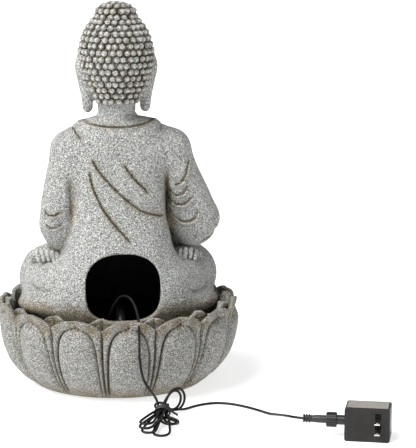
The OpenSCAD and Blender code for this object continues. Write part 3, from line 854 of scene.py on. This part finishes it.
def make_head():
    clay = Clay([-58, -74, 340], [58, 62, 486], 1.0)
    clay.blend([-48, -52, 373], [48, 50, 486], scalp, 0, 1, 8)
    clay.egg([0, -14, 402], [38, 36, 42], 8)
    clay.egg([0, -22, 385], [28, 26, 20], 8)
    clay.egg([0, -40, 374], [12, 10, 9], 8)
    clay.limb([[0, 3, 390, 25], [0, 3, 338, 24]], 3)
    for s in (1, -1):
        clay.egg([s * 20, -34, 396], [16, 13, 15], 10)
        clay.egg([s * 18, -54, 417.5], [13.5, 8.5, 8.5], 7, -1)
        clay.egg([s * 18, -41.5, 415.5], [12.5, 9.0, 8], 2.0)
        clay.limb([[s * 4.5, -51.5, 422, 1.8], [s * 11, -50.5, 430, 2.0], [s * 22, -47, 433, 1.8],
                   [s * 34, -38, 427, 1.0]], 5)
        clay.egg([s * 6.4, -57, 397], [4.3, 5.5, 4.2], 3)
        clay.egg([s * 3.3, -62, 392.6], [2.0, 2.6, 1.8], 1.2, -1)
        ear = [[s * 45, 1, 429, 7], [s * 46.5, 3, 416, 9], [s * 44.5, 2, 400, 7.5], [s * 40.5, 1, 384, 8.2],
               [s * 38, 0, 371, 8.8], [s * 37.5, 0, 365, 8.6]]
        clay.limb(ear, 2.5, flat=((1, 0, 0), 0.8))
        clay.limb([[s * 40, 2, 420, 9], [s * 37, 2, 396, 9], [s * 33, 2, 380, 7]], 5)
        clay.limb([[s * 52.5, -3, 424, 2.4], [s * 54, -1, 412, 3.6], [s * 52, -2, 400, 2.2]], 1.5, -1)
        clay.limb([[s * 48.5, -2, 390, 1.4], [s * 46, -2, 379, 2.0], [s * 44, -2, 368, 1.6]], 1.0, -1)
        clay.limb([[0, -52.8, 389.2, 2.6], [s * 4.5, -52.4, 390.2, 2.6], [s * 14, -46.8, 387.4, 1.2]], 1.6)
        clay.limb([[0, -53.0, 383.2, 3.3], [s * 5, -52.0, 383.2, 3.1], [s * 12.5, -47.6, 386.0, 1.3]], 1.6)
    clay.limb([[0, -47.5, 424, 4.0], [0, -54, 410, 4.6], [0, -58.5, 399, 6.0]], 5)
    clay.limb([[0, -54, 393, 1.4], [0, -55.5, 389.5, 1.0]], 1.5, -1)
    # two lines round the neck
    for z in (357, 349):
        turns = np.linspace(0, 2 * math.pi, 25)
        around = [[25.2 * math.sin(a), 3 - 25.2 * math.cos(a), z + 1.6 * math.cos(a), 0.9] for a in turns]
        clay.limb(around, 1.2, -1, steps=2)

    def on_face(line):
        return [[x, on_front(clay, x, z), z] for x, z in curve_through(np.array(line), 4)]

    # the closed lids and the mouth are cut last: the line, the cut's radius and the width of the painted
    # shade along it
    eye = [(6.5, 414.0), (11, 411.2), (18, 409.6), (25, 411.0), (30.5, 414.6)]
    mouth = [(-13.5, 387.4), (-7, 386.6), (0, 386.2), (7, 386.6), (13.5, 387.4)]
    cuts = [([(s * x, z) for x, z in eye], 1.25, 1.5) for s in (1, -1)]
    drawn = []
    for line, radius, wash in [*cuts, (mouth, 0.8, 1.1)]:
        spots = on_face(line)
        clay.limb([[*spot, radius] for spot in spots], 0.5, -1, steps=1)
        drawn.append(Seam(spots, wash))
    # painted shade along the crease above each closed lid, with no cut under it
    lid = [(7, 416.5), (12, 420.6), (18, 422.0), (25, 420.4), (30, 416.4)]
    for s in (1, -1):
        drawn.append(Seam(on_face([(s * x, z) for x, z in lid]), 0.6))
    return finish_clay("figure_head", clay, None, drawn)


HAIR_SPACING = 8.9
# The scalp's height and its half-width there, from the nape over the crown to the topknot
SCALP = np.array([
    (373, 30.5), (380, 33.5), (388, 36.5), (398, 40), (410, 43.5), (422, 45.5), (436, 45.3), (450, 42.6),
    (460, 38.6), (466, 35.2), (472, 30.6), (477, 26.2), (482, 23.4), (488, 22.4), (491, 19.4), (493.5, 13.6),
    (495, 7), (495.6, 1.0),
]).T
SCALP_DEPTH = 1.07  # front to back, against side to side


def scalp(x, y, z):
    half = np.interp(z, *SCALP)
    shape = ellipse_distance(x, y + 1, half - 0.5, (half - 0.5) * SCALP_DEPTH, 2)
    return np.maximum(shape, 373 - z).astype(np.float32)


def hair_places():
    """Places of the curls and their normals: rings up the scalp, staggered like bricks."""
    z, half = SCALP
    run = np.concatenate([[0], np.cumsum(np.hypot(np.diff(z), np.diff(half)))])
    rings = int(run[-1] / (0.9 * HAIR_SPACING))
    places = []
    for ring in range(rings + 1):
        at = 1.5 + (run[-1] - 1.5) * ring / rings
        height, wide = np.interp(at, run, z), np.interp(at, run, half)
        low, high = max(at - 4, 0), min(at + 4, run[-1])
        rise = np.interp(high, run, z) - np.interp(low, run, z)
        grow = np.interp(high, run, half) - np.interp(low, run, half)
        count = max(1, round(2 * math.pi * wide / HAIR_SPACING)) if ring < rings else 1
        for i in range(count):
            turn = 2 * math.pi * (i + 0.5 * (ring % 2) + 0.12 * math.sin(5.1 * ring + 2.3 * i)) / count
            p = Vector((wide * math.sin(turn), -1 + wide * SCALP_DEPTH * math.cos(turn), height))
            n = (rise * math.sin(turn), rise * math.cos(turn), -grow) if ring < rings else (0, 0, 1)
            places.append((p, Vector(n).normalized()))
    return places


def on_scalp(p):
    """Whether hair grows here: not over the face, the ears or below the hairline."""
    line = np.interp(p.y, [-60, -40, -16, -2, 10, 16, 60], [455, 449, 430, 424, 398, 372, 370])
    return p.z > line


def make_hair():
    """The curls: a snail-shell knob at each place, in one mesh."""
    rings, around = ((9, 22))
    kept = [(p, n) for p, n in hair_places() if on_scalp(p)]
    radius, high, turns = 5.2, 6.0, 1.6
    verts, faces, crest = [], [], []
    for index, (p, n) in enumerate(kept):
        rot = n.to_track_quat("Z", "Y")
        start = len(verts)
        spin = index * 0.7
        for k in range(rings + 1):
            share = k / rings
            for j in range(around):
                a = 2 * math.pi * j / around
                dome = high * (1 - share**2.4) ** 0.62
                coil = math.cos(2 * math.pi * turns * share - a - spin)
                lift = dome + 0.75 * coil * math.sin(math.pi * min(1, share * 1.05)) - 1.4
                x, y = radius * share * math.cos(a), radius * share * math.sin(a)
                verts.append((p + rot @ Vector((x, y, lift - 1.2 * (share > 0.99)))) * MM)
                # painted highlight along the coil's ridge
                painted_highlight = 0.10 * coil * math.sin(math.pi * share)
                crest.append(0.34 + 0.95 * max(0, share - 0.35) ** 1.1 - painted_highlight)
        for k in range(rings):
            for j in range(around):
                a, b = start + k * around + j, start + k * around + (j + 1) % around
                faces.append((a, a + around, b + around, b))
    hair = mesh_object("hair_curls", np.array([v[:] for v in verts]), faces)
    crest = np.clip(crest, 0, 1)
    # near is painted shade in the gaps between curls and painted highlight on their tops; deep is ochre in
    # the gaps, partly patina and partly painted shade
    paint(hair, near=crest, deep=0.5 + (crest - 0.38) * 0.6, inner=np.zeros(len(crest)))
    return hair


# ---------------------------------------------------------------- the lotus bowl

PETALS = 14
RIM_R, FOOT_R, TIP_Z, NOTCH_Z, FLOOR_Z = 151.0, 110.0, 113.5, 101.0, 16.0


def petal_edge(u):
    """The height of the front petals' edge; u is 0 at a petal's middle and 1 where two meet."""
    return TIP_Z - 1.5 - (TIP_Z - NOTCH_Z) * np.abs(u) ** 2.8


# Half-width of the swelling inside each petal, as a part of the petal's, at each share of its height
LOBE_SHARE = [0, 0.05, 0.35, 0.6, 0.72, 0.80, 0.86, 0.90, 0.925]
LOBE_HALF = [0.86, 0.85, 0.82, 0.78, 0.73, 0.66, 0.54, 0.38, 0.0]


def petal_face(u, z, share):
    """How far the carved petals stand out, and how deep their lines are, at a share of the petal's height."""
    lobe = np.interp(share, LOBE_SHARE, LOBE_HALF)
    away = np.abs(u) - lobe
    mm = np.interp(z, [0, 114], [FOOT_R, RIM_R]) * math.pi / PETALS  # half a petal's width
    top = np.clip((0.925 - share) / 0.925, 0, 1)
    crown = np.where(lobe > 0.02, np.clip(1 - (np.abs(u) / np.maximum(lobe, 0.02)) ** 2, 0, 1), 0) ** 0.55
    bulge = 9.5 * crown * np.clip(top / 0.16, 0, 1) ** 0.5 * (0.55 + 0.45 * smooth_step(share, 0, 0.35))
    inside = smooth_step(-away * mm, -0.6, 0.6)
    across = (np.abs(u) - (lobe + 1) / 2) / np.maximum((1 - lobe) / 2, 0.05)
    border = 3.8 * np.clip(1 - across**2, 0, 1) ** 0.7
    line = np.exp(-((away * mm / 1.1) ** 2)) * (share < 0.95)
    seam = np.exp(-(((1 - np.abs(u)) * mm / 1.15) ** 2))
    tip = smooth_step(share, 0.86, 1.0)
    # the carver's line is crisp on one side of each lobe and soft on the other
    crisp = 0.7 + 0.5 * smooth_step(u, -0.5, 0.5)
    out = inside * bulge + (1 - inside) * border - 2.6 * crisp * line - 3.0 * seam * (1 - 0.3 * tip)
    fade = smooth_step(z, 2, 16)
    # how much painted shade and ochre the petals' lines get
    groove = np.clip(line * crisp + seam, 0, 1.1) * smooth_step(z, 4, 14)
    return out * fade + 2.6 * tip, groove


def make_bowl():
    columns = PETALS * 52
    face_rows = 84
    theta = np.arange(columns) * 2 * math.pi / columns
    # u runs from -1 to 1 across each petal; a petal's middle faces +Y
    u = (np.mod(theta * PETALS / (2 * math.pi) + 0.5, 1) - 0.5) * 2
    which = np.floor(theta * PETALS / (2 * math.pi) + 0.5) % PETALS
    wobble = np.sin(which * 2.4 + 1.0)
    edge = petal_edge(u) + 1.0 * wobble * (1 - np.abs(u))
    rows, near, deep = [], [], []

    def ring(r, z, crevice=0.0, wash=0.0):
        """One ring of vertices. Each value is a number, or an array with one for each column. crevice sets
        painted shade in grooves and crevices; wash sets ochre, partly patina and partly painted shade.
        """
        r, z = np.broadcast_to(r, theta.shape), np.broadcast_to(z, theta.shape)
        rows.append(np.stack([r * np.sin(theta), r * np.cos(theta), z], 1))
        near.append(np.broadcast_to(0.5 + 0.45 * np.asarray(crevice), theta.shape))
        deep.append(np.broadcast_to(0.56 + 0.31 * np.asarray(wash), theta.shape))

    def wall(z):
        """The outer radius at a height, before the petals are carved."""
        return RIM_R - (RIM_R - FOOT_R) * np.maximum(0, 1 - z / 112.0) ** 2.8

    for r in (2.0, 60.0, FOOT_R - 6):
        ring(r, 2.2)
    ring(FOOT_R - 1.5, 2.4, 0.6)
    for k in range(face_rows + 1):
        share = k / face_rows
        z = 3.2 + (edge - 3.2 - 1.8) * share
        out, groove = petal_face(u, z, np.full_like(u, share))
        # ochre: in the lines partly painted shade, along the upper edge, and darker towards the foot
        wash = 0.9 * groove + 0.55 * smooth_step(share, 0.8, 1) * (0.6 + 0.4 * np.sin(9 * u + which))
        wash = wash + 0.5 * smooth_step(1 - share, 0.75, 1)
        ring(wall(z) + out, z, groove, wash)
    rim = wall(edge) + petal_face(u, edge, np.ones_like(u))[0]
    thick = 6.0
    for turn in (25, 55, 90, 125, 160):
        a = math.radians(turn)
        ring(rim - thick / 2 + (thick / 2) * math.cos(a), edge - 1.8 + 1.8 * math.sin(a), 0, 0.25)
    # behind the notches the second row of petals stands up, each with a rolled lip
    behind = np.abs(u)
    rise = smooth_step(behind, 0.25, 0.9)
    peak = NOTCH_Z + 0.5 + 10.0 * rise + 1.0 * np.sin(which * 1.7)
    valley = np.minimum(edge, peak) - 6.0
    # painted shade and ochre in the valley behind each notch, darker further down the inner wall
    ring(rim - thick - 0.4, np.maximum(valley + 2, edge - 5), 0.4, 0.6)
    ring(rim - thick - 2.6, valley, 0.7, 0.8)
    for share in (0.25, 0.5, 0.75, 1.0):
        lean = 3.2 * share * share * rise
        ring(rim - thick - 4.6 + lean, valley + (peak - valley) * share, 0.35 * (1 - share), 0.5)
    for turn in (30, 60, 90, 120, 150):
        a = math.radians(turn)
        ring(rim - thick - 7.4 + 3.0 * math.cos(a) + 3.2 * rise, peak + 2.2 * math.sin(a), 0, 0.15)
    inner_low, inner_high = wall(22.0) - 6.5, rim - thick - 10.6
    for share in np.linspace(0, 1, 16):
        z = peak - 1.0 + (22.0 - peak + 1.0) * share
        inner = inner_high + 3.2 * rise * max(0, 1 - 6 * share)
        ring(np.minimum(inner, wall(z) - 6.4), z, 0, 0.1 + 0.3 * share)
    ring(inner_low - 5, FLOOR_Z + 0.6, 0.3, 0.6)
    for r in (96, 70, 40, 2.0):
        ring(r, FLOOR_Z, 0, 0.4)
    verts = np.concatenate(rows)
    j = np.arange(columns)
    quads = []
    for k in range(len(rows) - 1):
        a, b = k * columns + j, k * columns + (j + 1) % columns
        quads.append(np.stack([a, b, b + columns, a + columns], 1))
    bowl = mesh_object("bowl_petals", verts * MM, np.concatenate(quads)[:, ::-1])
    # the underside and the floor end in small rings, which are closed here
    face_outward(bowl, close=True)
    shade_smooth(bowl)
    # inner at 0.18 darkens the whole bowl with painted shade
    paint(bowl, near=np.concatenate(near), deep=np.concatenate(deep), inner=np.full(len(verts), 0.18))
    return bowl


def revolve(name, profile, centre, segments, axis_rows=None):
    """A closed turned shape from (radius, height) points, with its own axes as rows if it isn't upright."""
    a = np.arange(segments) * 2 * math.pi / segments
    verts, count = [], len(profile)
    for r, z in profile:
        local = np.stack([r * np.cos(a), r * np.sin(a), np.full_like(a, z)], 1)
        if axis_rows is not None:
            local = local @ np.array(axis_rows)
        verts.append(local + np.array(centre))
    j = np.arange(segments)
    quads = []
    for k in range(count):
        low, high = k * segments, ((k + 1) % count) * segments
        quads.append(np.stack([low + j, low + (j + 1) % segments, high + (j + 1) % segments, high + j], 1))
    obj = mesh_object(name, np.concatenate(verts) * MM, np.concatenate(quads))
    face_outward(obj)
    return obj


def make_spill_bowl():
    outside = [(9.6, 175.2), (16, 174.8), (17.5, 176), (22.5, 181), (25.6, 189), (27.0, 199), (27.6, 202.6)]
    lip = [(27.2, 204), (26.0, 204.2), (24.9, 203)]
    inside = [(24.0, 198), (22.2, 189.6), (18.5, 183.4), (13, 180.4), (9.6, 180.0)]
    pts = curve_through(np.array([*outside, *lip, *inside, outside[0]]), 4)[:-1]
    segments = 96
    bowl = revolve("spill_bowl_turned", pts, (0, SPILL_Y, 0), segments)
    z = pts[:, 1].repeat(segments)
    paint(bowl, near=np.full(len(z), 0.5), deep=0.5 + 0.1 * (z < 184), inner=np.zeros(len(z)))
    return bowl


# ---------------------------------------------------------------- materials


class Nodes:
    """A material's node tree, with short ways to add and join nodes."""

    def __init__(self, name):
        self.mat = bpy.data.materials.new(name)
        self.mat.use_nodes = True
        self.tree = self.mat.node_tree
        self.shader = self.tree.nodes["Principled BSDF"]
        self.where = self.add("ShaderNodeTexCoord").outputs["Object"]

    def add(self, kind, **settings):
        node = self.tree.nodes.new(kind)
        for key, value in settings.items():
            setattr(node, key, value)
        return node

    def put(self, socket, value):
        if isinstance(value, bpy.types.NodeSocket):
            self.tree.links.new(value, socket)
        else:
            socket.default_value = value

    def noise(self, scale, detail=2.0, rough=0.5, stretch=None):
        node = self.add("ShaderNodeTexNoise")
        where = self.where
        if stretch:
            shape = self.add("ShaderNodeMapping")
            shape.inputs["Scale"].default_value = stretch
            self.put(shape.inputs["Vector"], where)
            where = shape.outputs[0]
        self.put(node.inputs["Vector"], where)
        node.inputs["Scale"].default_value = scale
        node.inputs["Detail"].default_value = detail
        node.inputs["Roughness"].default_value = rough
        return node.outputs["Fac"]

    def cells(self, scale, output="Color"):
        node = self.add("ShaderNodeTexVoronoi")
        self.put(node.inputs["Vector"], self.where)
        node.inputs["Scale"].default_value = scale
        return node.outputs[output]

    def ramp(self, value, low, high, to_low=0.0, to_high=1.0, smooth=True):
        node = self.add("ShaderNodeMapRange", interpolation_type="SMOOTHSTEP" if smooth else "LINEAR")
        keys = ("Value", "From Min", "From Max", "To Min", "To Max")
        for key, v in zip(keys, (value, low, high, to_low, to_high)):
            self.put(node.inputs[key], v)
        return node.outputs["Result"]

    def math(self, operation, a, b=0.0):
        node = self.add("ShaderNodeMath", operation=operation)
        self.put(node.inputs[0], a)
        self.put(node.inputs[1], b)
        return node.outputs[0]

    def mix(self, factor, a, b, blend="MIX"):
        node = self.add("ShaderNodeMix", data_type="RGBA", blend_type=blend)
        for key, v in zip(("Factor", "A", "B"), (factor, a, b)):
            socket = [s for s in node.inputs if s.name == key and s.enabled][0]
            self.put(socket, (*v, 1) if isinstance(v, tuple) else v)
        return [s for s in node.outputs if s.enabled][0]

    def layer(self, name):
        return self.add("ShaderNodeAttribute", attribute_name=name).outputs["Fac"]

    def bump(self, height, strength, distance, under=None):
        node = self.add("ShaderNodeBump")
        node.inputs["Strength"].default_value = strength
        node.inputs["Distance"].default_value = distance
        self.put(node.inputs["Height"], height)
        if under is not None:
            self.put(node.inputs["Normal"], under)
        return node.outputs[0]

    def surface(self, color=None, rough=None, metallic=0.0, normal=None, specular=0.5):
        for key, value in (("Base Color", color), ("Roughness", rough), ("Normal", normal)):
            if value is not None:
                self.put(self.shader.inputs[key], (*value, 1) if isinstance(value, tuple) else value)
        self.shader.inputs["Metallic"].default_value = metallic
        self.shader.inputs["Specular IOR Level"].default_value = specular
        return self.mat


def stone_material():
    """Cast stone: grey, with fine dark and white specks, ochre in the hollows that is partly patina and
    partly painted shade, painted shade in crevices and lines, and painted highlights on exposed edges.
    """
    n = Nodes("cast_stone")
    fine = n.noise(1380, 1, 0.5)
    grain = n.ramp(fine, 0.43, 0.57)
    body = n.mix(grain, (0.105, 0.108, 0.103), (0.60, 0.615, 0.60))
    cloud = n.ramp(n.noise(26, 4, 0.6), 0.35, 0.65)
    body = n.mix(n.math("MULTIPLY", cloud, 0.18), body, (0.40, 0.41, 0.41))
    pick = n.add("ShaderNodeSeparateColor")
    n.put(pick.inputs[0], n.cells(1060))
    body = n.mix(1.0, body, n.ramp(pick.outputs[0], 0, 1, 0.48, 1.42, False), "MULTIPLY")
    other = n.add("ShaderNodeSeparateColor")
    n.put(other.inputs[0], n.cells(1240))
    body = n.mix(n.math("MULTIPLY", n.ramp(other.outputs[0], 0.86, 0.88), 0.8), body, (0.90, 0.90, 0.88))
    body = n.mix(n.math("MULTIPLY", n.ramp(other.outputs[1], 0.82, 0.84), 0.8), body, (0.035, 0.036, 0.034))
    body = n.mix(n.math("MULTIPLY", n.ramp(other.outputs[2], 0.88, 0.90), 0.5), body, (0.26, 0.215, 0.13))
    near, deep = n.layer("near"), n.layer("deep")
    patch = n.noise(42, 4, 0.65)
    # ochre where the broad hollows are, partly patina and partly painted shade
    ochre = n.math("MULTIPLY", n.ramp(deep, 0.50, 0.72), n.ramp(patch, 0.34, 0.66, 0.5, 1.0))
    body = n.mix(ochre, body, (0.62, 0.51, 0.34), "MULTIPLY")
    # painted shade: dark in crevices and along carved lines
    wash = n.math("MULTIPLY", n.ramp(near, 0.60, 0.86), n.ramp(patch, 0.25, 0.6, 0.75, 1.0))
    body = n.mix(n.math("MULTIPLY", wash, 0.90), body, (0.040, 0.034, 0.024))
    # painted highlight: lighter on exposed edges and ridge lips
    painted_highlight = n.ramp(near, 0.42, 0.30)
    body = n.mix(n.math("MULTIPLY", painted_highlight, 0.45), body, (0.80, 0.80, 0.77))
    # painted shade: the hollow near-black, and the whole lotus bowl darkened a little the same way
    body = n.mix(n.layer("inner"), body, (0.012, 0.012, 0.012))
    height = n.math("ADD", fine, n.math("MULTIPLY", other.outputs[0], 0.5))
    normal = n.bump(height, 0.4, 0.0009, n.bump(n.noise(130, 3, 0.6), 0.25, 0.003))
    return n.surface(body, n.ramp(fine, 0.3, 0.7, 0.62, 0.86), normal=normal, specular=0.35)


def moulded(name, color, rough, grain=900, depth=0.0004, specular=0.5, vary=0.12):
    """Moulded plastic or rubber: a fine skin, faint flow marks and a little dust."""
    n = Nodes(name)
    flow = n.noise(34, 3, 0.6)
    skin = n.noise(grain, 2, 0.5)
    light = tuple(min(1, c * (1 + 2 * vary) + 0.006) for c in color)
    base = n.mix(n.ramp(flow, 0.3, 0.7), tuple(c * (1 - vary) for c in color), light)
    shine = n.ramp(flow, 0.3, 0.7, rough - 0.07, rough + 0.07)
    return n.surface(base, shine, normal=n.bump(skin, 0.35, depth), specular=specular)


def metal(name, color, rough, stretch=(1, 1, 14)):
    """Metal with a fine drawn or rolled grain."""
    n = Nodes(name)
    grain = n.noise(260, 3, 0.6, stretch)
    base = n.mix(n.ramp(n.noise(60, 3), 0.35, 0.7), color, tuple(c * 0.8 for c in color))
    shine = n.ramp(grain, 0.25, 0.75, rough - 0.08, rough + 0.12)
    return n.surface(base, shine, 1.0, n.bump(grain, 0.12, 0.0002))


def foam_material():
    """The black foam pad under the bowl."""
    n = Nodes("foam_pad")
    cells = n.cells(900, output="Distance")
    base = n.mix(n.ramp(cells, 0.0, 0.6), (0.012, 0.012, 0.012), (0.05, 0.05, 0.048))
    return n.surface(base, n.ramp(cells, 0, 1, 0.8, 0.95), normal=n.bump(cells, 0.5, 0.0006), specular=0.2)


def banded(name, scale, dark, light, rough, shine, metallic, strength):
    """Fine bands along Y: the turns of a winding, or the edges of a stack of laminations."""
    n = Nodes(name)
    wave = n.add("ShaderNodeTexWave", wave_type="BANDS", bands_direction="Y")
    n.put(wave.inputs["Vector"], n.where)
    wave.inputs["Scale"].default_value = scale
    bands = wave.outputs["Fac"]
    base = n.mix(bands, dark, light)
    return n.surface(base, n.ramp(bands, 0, 1, rough, shine), metallic, n.bump(bands, strength, 0.0003))


def lead_material():
    """The lead's soft black sheath."""
    n = Nodes("lead_sheath")
    skin = n.noise(520, 2)
    base = n.mix(n.ramp(n.noise(45, 3), 0.3, 0.7), (0.004, 0.0039, 0.0037), (0.009, 0.0087, 0.0084))
    shine = n.ramp(skin, 0.3, 0.7, 0.42, 0.56)
    return n.surface(base, shine, normal=n.bump(skin, 0.2, 0.0003), specular=0.28)


LOOKS = {
    "stone": stone_material(),
    "felt": foam_material(),
    "pump_black": moulded("pump_plastic", (0.018, 0.018, 0.019), 0.42),
    "hose": moulded("soft_hose", (0.016, 0.016, 0.017), 0.36, 300, 0.0003),
    "black_rubber": moulded("rubber", (0.022, 0.021, 0.020), 0.62, 600, 0.0005),
    "lamination": banded("laminations", 640, (0.12, 0.12, 0.125), (0.42, 0.42, 0.44), 0.6, 0.4, 0.85, 0.5),
    "copper": banded("winding", 900, (0.28, 0.09, 0.03), (0.72, 0.30, 0.14), 0.5, 0.3, 0.9, 0.6),
    "potting": moulded("potting_resin", (0.030, 0.027, 0.024), 0.25, 140, 0.0003),
    "ceramic_shaft": moulded("ceramic", (0.78, 0.77, 0.72), 0.22, 700, 0.0001, vary=0.04),
    "magnet": moulded("ferrite", (0.055, 0.055, 0.060), 0.48, 800, 0.0004),
    "impeller_white": moulded("impeller_nylon", (0.72, 0.72, 0.68), 0.38, 500, 0.0003, vary=0.05),
    "cord_black": lead_material(),
    "tie_black": moulded("tie_sleeve", (0.020, 0.018, 0.016), 0.45, 500, 0.0005),
    "connector_black": moulded("connector_plastic", (0.016, 0.0155, 0.015), 0.40, 700, 0.0004),
    "plated_steel": metal("plated_screws", (0.66, 0.66, 0.64), 0.28),
    "red_seal": moulded("red_silicone", (0.42, 0.035, 0.02), 0.40, 600, 0.0003),
    "contact_brass": metal("contact_brass", (0.80, 0.58, 0.26), 0.22),
    "adapter_black": moulded("adapter_case", (0.011, 0.0094, 0.0086), 0.42, 1100, 0.0005, 0.35),
    "label": moulded("label_film", (0.30, 0.285, 0.255), 0.38, 300, 0.0001, vary=0.05),
    # painted shade for the blade slots' recesses
    "slot": moulded("slot_shade", (0.0015, 0.0015, 0.0015), 0.9, specular=0.1),
    "plated_blades": metal("nickel_blades", (0.80, 0.79, 0.76), 0.20, (1, 1, 9)),
    "bobbin_nylon": moulded("bobbin", (0.60, 0.58, 0.50), 0.42, 500, 0.0003, vary=0.05),
}


def dress(obj, finish, body):
    """Gives a piece its material and the body it rides on."""
    obj.data.materials.clear()
    obj.data.materials.append(LOOKS[finish])
    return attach(obj, body)


# ---------------------------------------------------------------- the twist tie


def make_tie():
    """Plastic-covered wire wound round the hank, with its two ends twisted together."""
    pts, turns, sides = [], 5, 18
    for k in range(turns * sides + 1):
        a = 2 * math.pi * k / sides
        at = WRAP + NEAR * (k / (turns * sides) - 0.5) * 15 + OUT * 9.4 * math.cos(a)
        pts.append([*at, 8.4 + 7.3 * math.sin(a)])
    wound = tube("tie_wire", curve_through(np.array(pts), 2), 0.95, 2)
    ends = []
    for s in (1, -1):
        tail = []
        for k in range(15):
            a = k * 0.9 + (0 if s > 0 else math.pi)
            at = WRAP + OUT * (9.5 + 0.75 * k) + NEAR * (4 + 0.9 * math.cos(a) + 0.3 * k)
            tail.append([*at, 12.5 - 0.35 * k + 0.9 * math.sin(a)])
        ends.append(tube(f"tie_end_{'a' if s > 0 else 'b'}", curve_through(np.array(tail), 2), 0.8, 2))
    return [wound, *ends]


# ---------------------------------------------------------------- trim of the adapter

CASE_W, CASE_D, CASE_H = 54.0, 34.0, 41.0
CASE_AT, CASE_TURN = np.array([-239.0, 322.0]), math.radians(163)
BLADE_X, BLADE_GAP, BLADE_W = 0.74 * CASE_W, 12.7, 6.35  # across the face, between the blades, across one


def on_case(x, y, z):
    """From the adapter's own frame, x across its face and y into its depth, to the shared one."""
    c, s = math.cos(CASE_TURN), math.sin(CASE_TURN)
    return [CASE_AT[0] + c * x - s * y, CASE_AT[1] + s * x + c * y, z]


def slabs(name, boxes, soft=0.15):
    """Thin plates on the case, each given by two opposite corners in the adapter's frame."""
    bm = bmesh.new()
    for low, high in boxes:
        corners = [[(low, high)[(k >> axis) & 1][axis] for axis in range(3)] for k in range(8)]
        v = [bm.verts.new(Vector(on_case(*c)) * MM) for c in corners]
        for ring in ((0, 2, 3, 1), (4, 5, 7, 6), (0, 1, 5, 4), (2, 6, 7, 3), (0, 4, 6, 2), (1, 3, 7, 5)):
            bm.faces.new([v[k] for k in ring])
    bmesh.ops.recalc_face_normals(bm, faces=bm.faces)
    bmesh.ops.bevel(bm, geom=bm.edges[:], offset=soft * MM, segments=2, affect="EDGES")
    mesh = bpy.data.meshes.new(name)
    bm.to_mesh(mesh)
    bm.free()
    return add_object(name, mesh)


def make_trim():
    """A blank label, near-black plates of painted shade over the blades' folding slots with a frame round
    them, and the boot's ribs.
    """
    edge = 2.6
    label = slabs("label_plate", [([edge, edge, CASE_H], [CASE_W - edge, CASE_D - edge, CASE_H + 0.5])])
    heights = [CASE_H / 2 + k * BLADE_GAP / 2 for k in (-1, 1)]
    half = BLADE_W / 2 + 0.4
    # painted shade: thin near-black plates where the slots' recesses lie
    shades = [([BLADE_X - half, -0.35, z + 1.2], [BLADE_X + half, 0, z + 8.2]) for z in heights]
    slots = slabs("blade_slot_shade", shades)
    left, right, low, high = BLADE_X - 8, BLADE_X + 8, CASE_H / 2 - 12, CASE_H / 2 + 17
    bar, proud = 0.8, -0.3
    frame_bars = slabs("blade_frame", [
        ([left, proud, low], [left + bar, 0, high]),
        ([right - bar, proud, low], [right, 0, high]),
        ([left + bar, proud, low], [right - bar, 0, low + bar]),
        ([left + bar, proud, high - bar], [right - bar, 0, high]),
    ], 0.1)
    rib = [(4.7, 0.2), (5.2, 0.6), (5.2, 1.8), (4.7, 2.2), (3.8, 2.3), (3.8, 3.1)]
    ribs_profile = [(3.0, 0.2), *[(r, 3.2 * k + z) for k in range(3) for r, z in rib]]
    ribs_profile += [(4.4, 9.7), (4.4, 10.4), (3.0, 10.4)]
    along = [math.cos(CASE_TURN), math.sin(CASE_TURN), 0]
    axis_rows = [[0, 0, 1], [-along[1], along[0], 0], along]
    ribs = revolve("boot_ribs", ribs_profile, on_case(-51, CASE_D / 2, 21), 48, axis_rows)
    return [(label, "label", "adapter_black"), (slots, "slot", "adapter_black"),
            (frame_bars, "adapter_black", None), (ribs, "connector_black", None)]


# ---------------------------------------------------------------- putting it together

STAND = "stand"

body = dress(make_body(), "stone", STAND)
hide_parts("seated_figure")
head = dress(make_head(), "stone", STAND)
hair = dress(make_hair(), "stone", STAND)
bowl = dress(make_bowl(), "stone", STAND)
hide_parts("lotus_bowl")
for hem in HEMS:
    dress(make_hem(hem), "stone", STAND)
spill = dress(make_spill_bowl(), "stone", STAND)
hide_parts("spill_bowl")

dress(lead, "cord_black", STAND)
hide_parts("pump_lead", "cord_hank", "plug_lead")
tie = make_tie()
for piece in tie:
    dress(piece, "tie_black", STAND)
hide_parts("twist_tie")

for piece, finish, slot in make_trim():
    dress(piece, finish, STAND)

for part in frame["record"]["subparts"]:
    node = NODES[part["node"]]
    node.data.materials.clear()
    node.data.materials.append(LOOKS[part["material_slot"]])


# ---------------------------------------------------------------- floor and light

FLOOR = 30.0
floor_mesh = bpy.data.meshes.new("floor")
corners = [(x * FLOOR, y * FLOOR, 0) for x, y in ((-1, -1), (1, -1), (1, 1), (-1, 1))]
floor_mesh.from_pydata(corners, [], [(0, 1, 2, 3)])
floor = bpy.data.objects.new("floor", floor_mesh)
bpy.context.scene.collection.objects.link(floor)
paper = Nodes("white_paper")
floor.data.materials.append(paper.surface((0.68, 0.68, 0.68), 0.8, specular=0.1))
paper.shader.inputs["Emission Color"].default_value = (1, 1, 1, 1)
paper.shader.inputs["Emission Strength"].default_value = 0.68

world = bpy.data.worlds.new("studio")
world.use_nodes = True
world.node_tree.nodes["Background"].inputs["Color"].default_value = (1, 1, 1, 1)
world.node_tree.nodes["Background"].inputs["Strength"].default_value = 0.30
bpy.context.scene.world = world
bpy.context.scene.view_settings.view_transform = "Standard"


def sun(name, energy, degrees, travel):
    """A light that shines along travel, and looks as wide as degrees says."""
    light = bpy.data.lights.new(name, "SUN")
    light.energy, light.angle = energy, math.radians(degrees)
    add_object(name, light).rotation_euler = Vector(travel).to_track_quat("-Z", "Y").to_euler()


sun("side_light", 2.25, 44, (-0.78, -0.46, -0.90))
sun("top_light", 1.8, 30, (-0.50, -0.28, -1.0))
